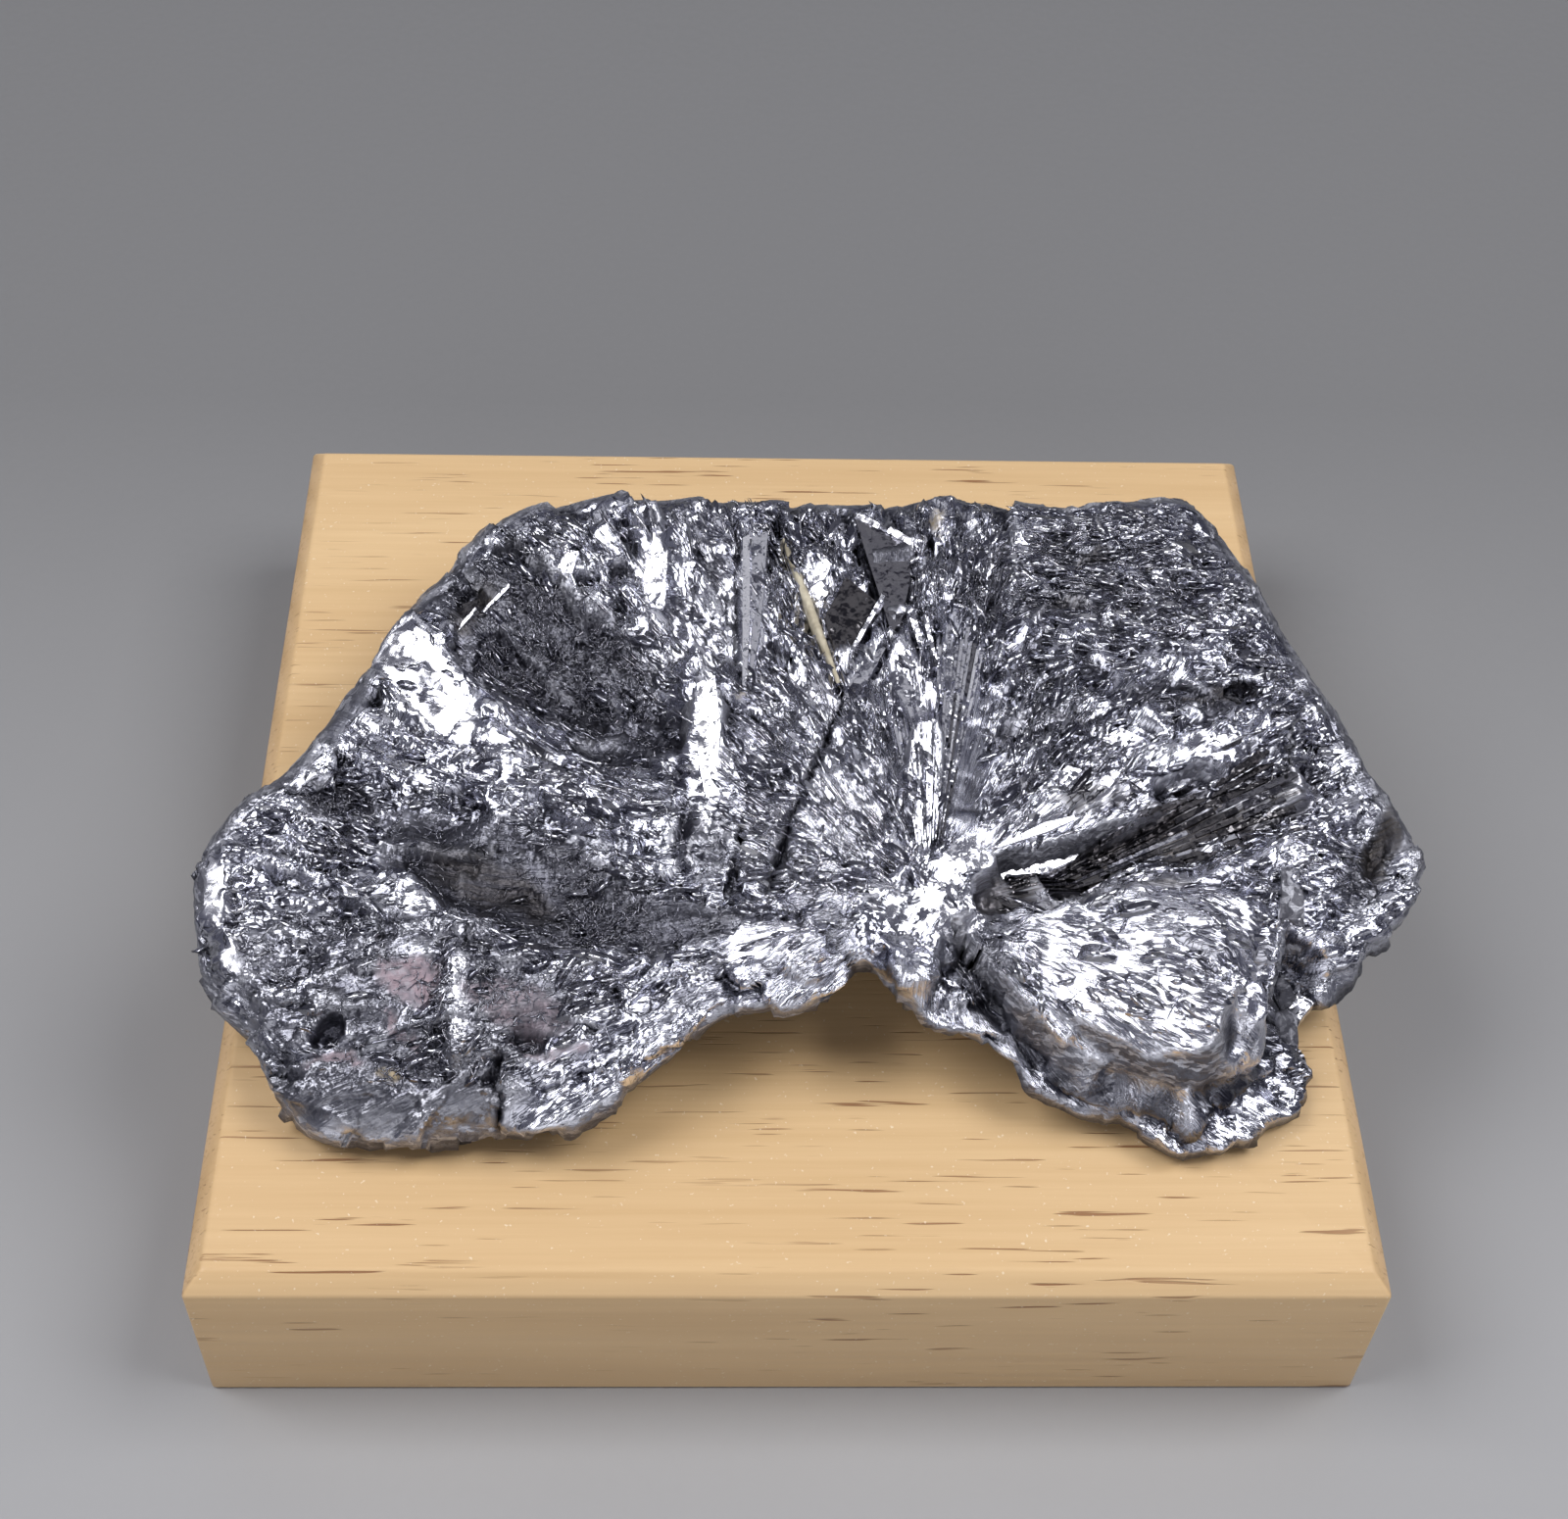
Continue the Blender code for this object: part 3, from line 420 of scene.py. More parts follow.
# Brown zones: smooth dark plates tinted brown as a painted reflection of the wood.
BROWN_ZONES = (
    ((6, 11), 3.6, 1.8, -113, 0.9),
    ((-30, 14.2), 3.2, 1.5, 48, 1),
    ((34, -11.6), 15.5, 2.1, 25, 1),
    ((43, -8.6), 6, 1.6, 20, 0.9),
    ((19.6, -18.4), 3.6, 1.9, 28, 0.9),
    ((27.6, -9.6), 4, 1.2, 14, 0.8),
    ((28.5, -20), 6.5, 1.2, 10, 0.7),
    ((37.6, 2.2), 2.4, 1.2, 0, 0.9),
    ((42.2, 2.9), 1.9, 1.1, 0, 0.9),
    ((27.5, 13.9), 1.6, 1, 20, 0.7),
    ((29.9, 20.6), 1.9, 0.9, 40, 0.7),
    ((-26.5, -16.5), 7, 2.2, -30, 0.6),
    ((54.2, -11.6), 4.2, 1.3, 66, 1),
    ((-23, -3.8), 1.6, 0.8, -40, 0.6),
)
CALM_ZONES = (
    ((3, -6), 11, 3.6, -88, 0.5),
    ((15.6, -3), 13.5, 2.2, -88, 0.95),
    ((34, -11.6), 15, 2.4, 25, 0.45),
    # dark plate along the trough, its mouth, the plate behind it and the recess by the right tip
    ((34.4, -11.6), 12.5, 1.4, 22, 0.6),
    ((18.3, -19.9), 2.4, 1.9, -107, 0.6),
    ((38.5, -7.2), 6, 1.5, 14, 0.5),
    ((54.4, -12), 4, 1.7, 60, 0.6),
    # front wall of the right lobe, the rounded foot of the left lobe
    ((31, -33.6), 8.5, 1.4, -6, 0.4),
    ((39, -31.5), 2.6, 1.6, 60, 0.4),
    ((-37, -37.2), 6, 1.6, -4, 0.9),
    ((-28.8, -36.8), 2.2, 1.3, 0, 0.8),
    # patch to the right of the notch
    ((7.6, -27), 1.8, 1.4, 0, 0.8),
    ((10.4, 19), 5.4, 2, -92, 0.7),
)
PINK_ZONES = (
    ((-32.9, -27.4), 2.9, 1.6, -32, 1),
    ((-23.5, -29.8), 4.4, 2, -18, 0.5),
    ((-39.2, -33.4), 2.8, 0.5, -5, 0.9),
    ((-33.7, -31.4), 2, 0.4, -40, 1),
    ((-20, -33.6), 3, 0.4, 8, 0.7),
)
OCHRE_ZONES = (
    ((-34.5, -34.8), 0.9, 0.6, 0, 1),
    ((14.8, 23.6), 1.4, 0.6, 90, 1),
    ((-4.2, 2.2), 1, 0.4, 90, 1),
)

# Dark cracks between the plates of the middle, their darkness painted shade: points of the line, half width
# and depth.
CRACKS = (
    (((-1.6, 26.5), (0, 23)), 0.5, 1.4),
    (((4.8, 4.2), (5.2, 1.8), (1.4, -9), (-2.4, -19.6)), 0.55, 1.2),
    (((5.8, 27.5), (7.6, 21), (9, 15), (10.4, 8.7), (5.4, 1.6)), 0.5, 1.5),
    (((14, 22.5), (14.4, 19.2)), 0.4, 1.2),
    (((4, 10), (7.4, 15.5)), 0.3, 0.8),
    (((5.2, 5), (9.8, 12.6)), 0.3, 0.8),
    (((-4.6, 24), (-4.8, 12), (-4.6, 3)), 0.3, 0.8),
    (((-4.4, -14), (-5.2, -20)), 0.5, 1.2),
    (((-24.8, -33.6), (-25.7, -35.4), (-24.6, -36.8), (-25.1, -38.4)), 0.5, 1.5),
    (((43.6, -24.6), (41.6, -27.4)), 0.6, 0.8),
)

# How soft a zone's edge is as a share of its reach, and how far it wanders.
ZONE_EDGE = 0.5
ZONE_STRAY = 0.8

# Strip along the outline that stays clear of loose leaves, and the dark band along the back rim.
LEAF_CLEAR_EDGE = 2.4
BACK_BAND_WIDTH = 2.2

# The way that the leaves of the bright zones are turned to face, so that they mirror the left lamp:
# up, to the front and to the left.
LAMP_FACING = (-0.29, -0.35, 0.89)
LAMP_FACING_SHARE = 0.7

# Flat crystal plates with straight edges: corners in plan in order round the plate, slopes towards +X
# and +Y, lift of the middle over the skin, and finish, one of those in PLATE_TONES. Some finishes
# carry painted highlight or a painted brown reflection.
CRYSTAL_PLATES = (
    # light blade, and the bright pair beside the first crack
    (((-4.1, 21.6), (-3.4, 22), (-3.4, 11), (-3.9, 1.6), (-4.2, 2)), (0.14, 0.05), 0.6, "pale"),
    (((-3.3, 21.8), (-1.6, 22.4), (-1.8, 18.2), (-3.2, 11)), (0.04, 0.10), 0.3, "grey"),
    (((-3.3, 10.6), (-2, 15.8), (-2.4, 9.6), (-3.6, 2.6)), (0.10, 0.02), 0.3, "grey"),
    (((2.6, 18.1), (3.7, 19.6), (4.6, 18.6), (4, 17.3), (2.8, 16.9)), (0.32, 0.36), 0.5, "fresh"),
    (((2.4, 16.4), (3.5, 17), (4.3, 15.8), (3.6, 14.2), (2.7, 15)), (0.28, 0.38), 0.5, "fresh"),
    # brown cross plate with a bright bar along it, and the grey plate in front of them
    (((3.6, 11.6), (5.8, 16.6), (9, 13.2), (4.9, 6.2)), (0.05, 0.12), 0.9, "brown"),
    (((4.9, 6), (5.1, 5.5), (9.4, 12.6), (9.1, 12.9)), (0.26, 0.32), 1, "grey"),
    (((5.3, 2.9), (8.1, 8.2), (9.4, 7.5), (6, 1), (5.2, 1.4)), (0.10, 0.14), 0.7, "grey"),
    # dark flat triangle and the bright bars behind it
    (((6.8, 25.9), (12.5, 21.2), (12.1, 16.4), (10.4, 8.8)), (0.02, 0.06), 0.25, "dark"),
    (((6.9, 25.2), (7.4, 25.6), (9.6, 24), (9.3, 23.5)), (0.26, 0.36), 0.3, "fresh"),
    (((9.9, 23.1), (10.4, 23.6), (12.5, 21.8), (12.4, 21.1)), (0.30, 0.32), 0.3, "fresh"),
    # fan blades in front of the triangle
    (((11.6, 10.6), (12.1, 10.8), (14.2, 2.6), (13.9, 1.6)), (0.24, 0.30), 0.3, "pale"),
    (((12.9, 10.4), (13.3, 10.2), (14.5, 3.4), (14.2, 2.6)), (0.28, 0.28), 0.3, "pale"),
    (((9.3, 4.2), (10.6, 5), (13, 0), (12.2, -2.6), (11, -3.4)), (0.10, 0.18), 0.4, "grey"),
    # small dark facet in the left hollow and the bright bar behind it
    (((-33.2, 12.2), (-31.2, 15.4), (-27.4, 17), (-28.8, 14)), (-0.04, 0.16), 0.2, "brown"),
    (((-32.2, 10.6), (-31.9, 10.4), (-29.4, 13.3), (-29.6, 13.5)), (0.20, 0.28), 0.4, "pale"),
    (((-29.2, 13.8), (-29, 13.6), (-26.4, 16.1), (-26.6, 16.4)), (0.24, 0.26), 0.4, "pale"),
    # chips of the right block
    (((28.4, -3.6), (30.4, -2.8), (32.4, -4.2), (30.6, -5)), (0.28, 0.36), 0.5, "fresh"),
    (((37.6, -3.4), (39.2, -2.6), (41.6, -3.6), (39.4, -4.3)), (0.30, 0.34), 0.5, "fresh"),
    (((23.6, -8.4), (25.2, -7.2), (26.6, -8), (25, -9.2)), (0.28, 0.36), 0.5, "fresh"),
    (((27.4, -8.4), (28.6, -7.4), (30, -7.8), (29, -9)), (0.30, 0.34), 0.5, "fresh"),
    # bright streaks along the crest behind the trough
    (((15.4, -18.4), (22.6, -14.2), (29.8, -11.4), (22.9, -15.6)), (-0.34, 0.38), 0.4, "pale"),
    (((17, -16.4), (22.8, -12.6), (27.4, -10.8), (23.2, -13.4)), (-0.30, 0.36), 0.4, "pale"),
    # face of the tall wedge, and the bright strip behind it
    (((-8.4, 0.6), (-6.8, 1), (-6.1, -4), (-7, -13.4), (-8.2, -7)), (0.37, 0.31), 0.15, "pale"),
    (((-12.9, 23), (-11.6, 22.4), (-11.4, 15), (-12.4, 14.4)), (0.30, 0.34), 0.2, "pale"),
    # small plates by the pits behind the left hollow
    (((-22.4, 18.2), (-21.2, 20.4), (-20, 20), (-20.6, 17.8)), (0.30, 0.36), 0.6, "fresh"),
    (((-13.9, 18), (-13.2, 20.2), (-11.8, 19.4), (-12, 16.2), (-13, 15.2)), (0.32, 0.34), 0.6, "fresh"),
    # facet beside the right notch
    (((44.4, -25.6), (45.8, -24), (47.2, -25), (45.8, -26.4)), (0.30, 0.40), 0.5, "fresh"),
)
PLATE_THICKNESS = 1.0
PLATE_BEVEL = 0.12
# Tone of each finish, then how much it takes of the felt colour (partly painted shade), of the painted
# highlight of the bright zones and of the painted brown reflection of the wood.
PLATE_TONES = {
    "fresh": (0.90, 0.0, 1.0, 0.0),
    "pale": (0.90, 0.0, 0.6, 0.0),
    "grey": (0.45, 0.0, 0.10, 0.0),
    "brown": (0.10, 0.0, 0.0, 1.0),
    "dark": (0.0, 0.0, 0.0, 0.75),
}

# Kinds of loose leaves: the piece, the setting that counts them, seed, rings of a leaf, share of them in
# the felt and on smooth plates, and whether they keep to the fan of blades. Then the spread of the
# heading (none: any way), least and most length and width, whether the width is a share of the length,
# spreads of the lean sideways and endways, each bow's share of the length with its middle and spread,
# and the lift over the skin with its share of the length. Lengths are in millimetres.
LEAF_KINDS = (
    {
        "name": "loose_leaves", "counted_by": "leaf_count", "seed": 101, "rings": 2,
        "felt_share": 0.15, "smooth_share": 0.03, "in_fan": False, "spread": 0.45,
        "lengths": (0.6, 2.0), "widths": (0.14, 0.32), "by_length": True, "leans": (0.15, 0.06),
        "bows": ((0.10, 0.0, 1.0), (0.06, 0.3, 1.0)), "lifts": (0.02, 0.05),
    },
    {
        "name": "broad_leaves", "counted_by": "broad_count", "seed": 404, "rings": 4,
        "felt_share": 0.12, "smooth_share": 0.03, "in_fan": False, "spread": 0.35,
        "lengths": (1.3, 4.2), "widths": (0.18, 0.42), "by_length": True, "leans": (0.20, 0.07),
        "bows": ((0.05, 0.0, 1.0), (0.015, 0.3, 1.0)), "lifts": (0.12, 0.0),
    },
    {
        "name": "felt_fibres", "counted_by": "fibre_count", "seed": 202, "rings": 4,
        "felt_share": 5.0, "smooth_share": 0.02, "in_fan": False, "spread": None,
        "lengths": (0.7, 2.2), "widths": (0.07, 0.16), "by_length": False, "leans": (0.5, 0.08),
        "bows": ((0.22, 0.0, 1.0), (0.05, 0.5, 0.6)), "lifts": (0.05, 0.0),
    },
    {
        "name": "blade_needles", "counted_by": "needle_count", "seed": 303, "rings": 3,
        "felt_share": 0.15, "smooth_share": 0.05, "in_fan": True, "spread": 0.07,
        "lengths": (1.5, 5.0), "widths": (0.12, 0.34), "by_length": False, "leans": (0.30, 0.02),
        "bows": ((0.02, 0.0, 1.0), (0.01, 0.5, 1.0)), "lifts": (0.04, 0.0),
    },
)

# Foil facets: scales of the broad and fine noise, the cells and the lines' noise, per metre; how far the
# broad noise pushes the cells, in metres; how far each leans the normal; and the step between two lines.
FOIL_BROAD = 680.0
FOIL_FINE = 2100.0
FOIL_CELLS = 1250.0
FOIL_LINES = 1080.0
FOIL_STRAY = 0.0024
BROAD_LEAN = 2.1
FINE_LEAN = 2.4
CELL_LEAN = 0.7
LINE_STEP = 0.055
FOIL_SOCKETS = (
    ("Coordinates", "INPUT", "NodeSocketVector"),
    ("Base Normal", "INPUT", "NodeSocketVector"),
    ("Tilt", "INPUT", "NodeSocketFloat"),
    ("Normal", "OUTPUT", "NodeSocketVector"),
    ("Glint", "OUTPUT", "NodeSocketFloat"),
    ("Line", "OUTPUT", "NodeSocketFloat"),
)

# Points round each corner of the block.
CORNER_POINTS = 5

# Depths of the bumps, and where the block's growth rings are centred, in metres.
GROOVE_DEPTH = 0.00016
CHIP_DEPTH = 0.0002
GRAIN_DEPTH = 0.0002
RING_CENTRE = (0.0, 0.02, 0.09)

# The stage, in metres.
AIM = (-0.00029, -0.00271, 0.030)
CAMERA_PLACE = (-0.00737, -0.14711, 0.20420)
CAMERA_ROLL = 2.58
LEFT_LAMP = (-0.42, -0.02, 0.66)
RIGHT_LAMP = (0.42, -0.02, 0.66)
BACK_PANEL = (0.0, 0.95, 0.98)
BACK_PANEL_SIZE = (1.3, 0.9)
BACK_PANEL_POWER = 1.7
FRONT_PANEL = (0.0, -1.1, 0.40)
FRONT_PANEL_SIZE = (1.4, 0.6)
FRONT_PANEL_POWER = 3.4
WORLD_COLOUR = (0.285, 0.29, 0.38, 1.0)
WORLD_STRENGTH = 0.34
# The floor reaches so far each way. Its mottling goes down to one share of its colour, and from the first
# of two places along Y to the second it darkens to another, as painted shade of the lamps' light falling
# off towards the back.
FLOOR_REACH = 2.0
FLOOR_MOTTLE = 0.9
FLOOR_FADE = (-0.06, 0.08)
FLOOR_FALLOFF_SHADE = 0.52


def smooth_curve(points, samples):
    """Evenly spaced points along a Catmull-Rom curve through the given points."""
    knots = np.array(points, dtype=float)
    knots = np.vstack((2 * knots[0] - knots[1], knots, 2 * knots[-1] - knots[-2]))
    t = np.linspace(0.0, 1.0, 12, endpoint=False)[:, None]
    runs = []
    for before, start, end, after in zip(knots, knots[1:], knots[2:], knots[3:]):
        bend = 2 * before - 5 * start + 4 * end - after
        twist = 3 * start - before - 3 * end + after
        runs.append(0.5 * (2 * start + (end - before) * t + bend * t ** 2 + twist * t ** 3))
    line = np.vstack(runs + [knots[-2][None, :]])
    walked = np.concatenate(([0.0], np.cumsum(np.hypot(*np.diff(line, axis=0).T))))
    wanted = np.linspace(0.0, walked[-1], samples)
    return np.column_stack([np.interp(wanted, walked, line[:, axis]) for axis in (0, 1)])


def thin_plate(plan, spots):
    """Heights over plan points of the thin-plate sheet that passes through the spot heights."""
    sites = np.array(spots, dtype=float)[:, :2]
    heights = np.array(spots, dtype=float)[:, 2]
    count = len(sites)

    def kernel(points):
        squared = ((points[:, None, :] - sites[None, :, :]) ** 2).sum(axis=2)
        return squared * np.log(squared + 1e-9)

    system = np.zeros((count + 3, count + 3))
    system[:count, :count] = kernel(sites)
    system[:count, count:] = np.column_stack((np.ones(count), sites))
    system[count:, :count] = system[:count, count:].T
    weights = np.linalg.solve(system, np.append(heights, np.zeros(3)))
    flat = np.column_stack((np.ones(len(plan)), plan)) @ weights[count:]
    return kernel(plan) @ weights[:count] + flat


def distance_to_line(plan, line):
    """Distance from each plan point to a polyline, and which side of it the point lies on."""
    corners = np.array(line, dtype=float)
    nearest = np.full(len(plan), np.inf)
    side = np.zeros(len(plan))
    for start, end in zip(corners, corners[1:]):
        run = end - start
        reach = np.clip((plan - start) @ run / (run @ run), 0.0, 1.0)
        away = plan - (start + reach[:, None] * run)
        gap = np.hypot(away[:, 0], away[:, 1])
        closer = gap < nearest
        turn = run[0] * (plan[:, 1] - start[1]) - run[1] * (plan[:, 0] - start[0])
        side[closer] = np.sign(turn[closer])
        nearest[closer] = gap[closer]
    return nearest, side


def ease(value):
    """Smooth step from 0 to 1."""
    clipped = np.clip(value, 0.0, 1.0)
    return clipped * clipped * (3.0 - 2.0 * clipped)


def local_axes(plan, centre, bearing):
    """Plan points measured along and across an axis through a centre."""
    turn = math.radians(bearing)
    east = plan[:, 0] - centre[0]
    north = plan[:, 1] - centre[1]
    along = east * math.cos(turn) + north * math.sin(turn)
    across = north * math.cos(turn) - east * math.sin(turn)
    return along, across


def plate_mask(plan, plate):
    """How far each plan point lies on a plate, from 0 to 1, easing out at the plate's ends and sides."""
    centre, half_length, half_width, bearing = plate[:4]
    along, across = local_axes(plan, centre, bearing)
    ends = ease((half_length - np.abs(along)) / PLATE_END_EASE + 0.6)
    sides = ease((half_width - np.abs(across)) / PLATE_SIDE_EASE + 0.6)
    return ends * sides


def set_plates(plan, height):
    """Set the flat plates into the surface, each a plane through its centre's own height."""
    centres = np.array([plate[0] for plate in PLATES])
    levels = thin_plate(centres, TOP_SPOTS)
    for level, plate in zip(levels, PLATES):
        centre, slopes, lift = plate[0], plate[4], plate[5]
        plane = level + lift + (plan - centre) @ np.array(slopes)
        height = height + plate_mask(plan, plate) * (plane - height)
    return height


def add_roofs(plan, height, roofs, way=1.0):
    """Raise roofs of a half width and rise along lines, or sink them as grooves when way is -1."""
    for line, half_width, rise in roofs:
        away, _ = distance_to_line(plan, line)
        height = height + way * rise * np.clip(1.0 - away / half_width, 0.0, 1.0)
    return height


def add_belts(plan, height):
    """Raise the wavy belts: roofs along lines that noise pushes about."""
    here = in_space(plan)
    stray = np.column_stack([lattice_noise(here, 2.8, seed) for seed in (551, 552)])
    return add_roofs(plan + BELT_STRAY * stray, height, BELTS)


def cut_hollows(plan, height):
    """Sink the hollows and pits, each a flat-bottomed ellipse with sloping walls."""
    for centre, half_length, half_width, bearing, depth in HOLLOWS:
        along, across = local_axes(plan, centre, bearing)
        height = height - depth * ease(1.6 * (1.0 - np.hypot(along / half_length, across / half_width)))
    return height


def cut_step(plan, height):
    """Drop the ground outside the step line, which leaves the crumpled ledge below the right lobe."""
    away, side = distance_to_line(plan, STEP_LINE)
    outside = away * np.where(side < 0.0, 1.0, -1.0)
    near = ease((STEP_REACH - away) / 2.0)
    return height - STEP_DROP * near * ease(outside / STEP_WIDTH + 0.5)


def lattice_noise(points, size, seed):
    """Smooth noise from -1 to 1: random values on a cubic lattice, eased between its points."""
    table = np.random.default_rng(seed).random((LATTICE, LATTICE, LATTICE)) * 2.0 - 1.0
    scaled = points / size
    base = np.floor(scaled).astype(int)
    share = ease(scaled - base)
    total = np.zeros(len(points))
    for corner in np.ndindex(2, 2, 2):
        weight = np.prod(np.where(corner, share, 1.0 - share), axis=1)
        row = (base + corner) % LATTICE
        total += weight * table[row[:, 0], row[:, 1], row[:, 2]]
    return total


def summed_noise(points, layers):
    """Noises added up: each layer's strength times the noise of its size and seed."""
    return sum(strength * lattice_noise(points, size, seed) for strength, size, seed in layers)


def wander(points, size, seed):
    """Three noises, for moving points about."""
    return np.column_stack([lattice_noise(points, size, seed + axis) for axis in range(3)])


def flat_cells(points, flow, size, stretch, slope, step, seed):
    """Height of flat tilted cells in space, each round a shaken lattice point and longer along the flow."""
    table = np.random.default_rng(seed).random((LATTICE, LATTICE, LATTICE, 7))
    scaled = points / size
    base = np.floor(scaled).astype(int)
    best = np.full(len(points), np.inf)
    height = np.zeros(len(points))
    squeeze = 1.0 - 1.0 / stretch ** 2
    for shift in np.ndindex(3, 3, 3):
        cell = base + shift - 1
        row = table[cell[:, 0] % LATTICE, cell[:, 1] % LATTICE, cell[:, 2] % LATTICE]
        away = scaled - (cell + 0.15 + 0.7 * row[:, :3])
        gap = (away ** 2).sum(axis=1) - squeeze * (away * flow).sum(axis=1) ** 2
        nearer = gap < best
        lean = (away * (2.0 * row[:, 3:6] - 1.0)).sum(axis=1)
        own = 2.0 * row[:, 6] - 1.0
        height = np.where(nearer, 1.4 * slope * size * lean + step * own, height)
        best = np.where(nearer, gap, best)
    return height


def from_focus(plan):
    """Distance from the focus, bearing round it and the unit direction away from it."""
    away = plan - np.array(FOCUS)
    radius = np.hypot(away[:, 0], away[:, 1]) + 1e-6
    return radius, np.arctan2(away[:, 1], away[:, 0]), away / radius[:, None]


def in_space(plan):
    """Plan points as points in space at height 0."""
    return np.column_stack((plan, np.zeros(len(plan))))


def fan_share(bearing):
    """Share of the long blades at a bearing from the focus: 1 in the middle of their fan, 0 outside it."""
    return ease(1.15 - np.abs(bearing - BLADE_FAN_MIDDLE) / BLADE_FAN_SPREAD)


def quiet_noise(points):
    """A broad patchy noise from 0 to 1, which is high where the skin sparkles less."""
    return ease(0.5 + 1.3 * lattice_noise(points, 8.5, 771) + 0.6 * lattice_noise(points, 3.6, 772))


def add_blades(plan, height):
    """Lay long tilted blades over the middle, side by side round the focus and wider away from it."""
    radius, bearing, _ = from_focus(plan)
    spread = radius / BLADE_RADIUS
    drift = lattice_noise(in_space(plan), 9.0, BLADE_SEED + 1)
    along = radius / BLADE_LENGTH + 0.8 * drift
    across = (bearing * BLADE_RADIUS + 1.1 * drift) / BLADE_WIDTH
    table = np.random.default_rng(BLADE_SEED).random((64, 64, 3))
    strip = np.floor(across).astype(int) % 64
    shifted = along + table[strip, 0, 0]
    part = np.floor(shifted).astype(int) % 64
    row = table[strip, part]
    lean = (2.0 * row[:, 1] - 1.0) * (across - np.floor(across) - 0.5) * BLADE_WIDTH * spread
    relief = 1.8 * BLADE_SLOPE * lean + BLADE_STEP * (2.0 * row[:, 2] - 1.0) * np.clip(spread, 0.3, 1.5)
    return height + relief * (0.3 + 0.7 * fan_share(bearing)) * ease((radius - 2.0) / 6.0)


def across_shares(steps):
    """Shares of the way from the front edge to the back edge, closer together near the edges."""
    even = np.linspace(0.0, 1.0, steps + 1)
    return (1.0 - EDGE_CROWDING) * even + EDGE_CROWDING * (0.5 - 0.5 * np.cos(math.pi * even))


def from_edge(plan, samples):
    """Distance from each plan point to the outline of the mass."""
    front = smooth_curve(FRONT_EDGE, samples)
    back = smooth_curve(BACK_EDGE, samples)
    return distance_to_line(plan, np.vstack((front, back[-2::-1])))[0]


def rim_rounding(plan, top, under):
    """Bring top and underside together round the edge in a rounded rim."""
    away = from_edge(plan, OUTLINE_POINTS)
    thickness = top - under
    reach = np.clip(0.55 * thickness, RIM_ROUND_LEAST, RIM_ROUND_MOST)
    inset = np.clip(1.0 - away / reach, 0.0, 1.0)
    fall = thickness * (1.0 - np.sqrt(1.0 - inset ** 2))
    return top - TOP_SHARE_OF_RIM * fall, under + (1.0 - TOP_SHARE_OF_RIM) * fall


def sheet_heights(plan):
    """Heights of the top and the underside above the block over plan points, in millimetres."""
    top = thin_plate(plan, TOP_SPOTS)
    top = add_blades(plan, top)
    top = set_plates(plan, top)
    top = add_roofs(plan, top, RIDGES)
    top = add_belts(plan, top)
    top = cut_hollows(plan, top)
    top = cut_step(plan, top)
    top = add_roofs(plan, top, CRACKS, -1.0)
    under = np.maximum(thin_plate(plan, UNDER_SPOTS), REST_GAP)
    top = np.maximum(top, under + LEAST_THICKNESS)
    return rim_rounding(plan, top, under)


def loop_normals(loops):
    """Outward normals of the skin, from the steps along it and around it."""
    along = np.gradient(loops, axis=0)
    around = np.roll(loops, -1, axis=1) - np.roll(loops, 1, axis=1)
    normals = np.cross(along, around)
    return normals / (np.linalg.norm(normals, axis=2, keepdims=True) + 1e-12)


def plate_cover(plan):
    """How far each plan point is covered by a flat plate, from 0 to 1."""
    return np.maximum.reduce([plate_mask(plan, plate) for plate in PLATES])


def tip_point(edge_point):
    """The single point that closes one end of the loft."""
    plan = np.array([edge_point], dtype=float)
    top, under = sheet_heights(plan)
    return np.array([plan[0, 0], plan[0, 1], 0.5 * (top[0] + under[0])])


def zone_mask(plan, zones):
    """How strongly each plan point lies in a list of soft-edged ellipses: the largest of them."""
    total = np.zeros(len(plan))
    for centre, half_length, half_width, bearing, strength in zones:
        along, across = local_axes(plan, centre, bearing)
        reach = np.hypot(along / half_length, across / half_width)
        total = np.maximum(total, strength * ease((1.0 - reach) / ZONE_EDGE + 0.5))
    return total


def turn_round_focus(plan):
    """Distance from the focus and the angle round it, counted from the short way to the front edge."""
    radius, bearing, _ = from_focus(plan)
    return radius, np.mod(bearing - TURN_START, 2.0 * math.pi)


def skin_leaves(plan, length, width, slope, step, drift, seed):
    """Height of flat leaves fanned round the focus.

    Distance over length and arc over width are pushed about by noise. Each shaken lattice cell of
    them is one leaf, which leans across its width by its own slope and stands at its own step.
    """
    radius, turn = turn_round_focus(plan)
    here = in_space(plan)
    along = radius / length + 0.5 * lattice_noise(here, 1.6 * width + 1.0, seed + 1)
    across = (turn * BLADE_RADIUS + drift * lattice_noise(here, 2.2 * width + 1.5, seed + 2)) / width
    table = np.random.default_rng(seed).random((64, 64, 4))
    base_along, base_across = np.floor(along).astype(int), np.floor(across).astype(int)
    best = np.full(len(plan), np.inf)
    height = np.zeros(len(plan))
    scale = radius / BLADE_RADIUS
    for shift_along, shift_across in np.ndindex(3, 3):
        cell_along = base_along + shift_along - 1
        cell_across = base_across + shift_across - 1
        row = table[cell_along % 64, cell_across % 64]
        away_along = along - (cell_along + 0.1 + 0.8 * row[:, 0])
        away_across = across - (cell_across + 0.1 + 0.8 * row[:, 1])
        gap = away_along ** 2 + away_across ** 2
        nearer = gap < best
        lean = 1.8 * slope * (2.0 * row[:, 2] - 1.0) * away_across * width * scale
        height = np.where(nearer, lean + step * (2.0 * row[:, 3] - 1.0), height)
        best = np.where(nearer, gap, best)
    return height


def upward_share(normals):
    """Share of the relief kept: all of it on the top, less of it where the skin turns over the rim."""
    return RIM_SHARE + (1.0 - RIM_SHARE) * ease(normals[:, 2] / 0.8)


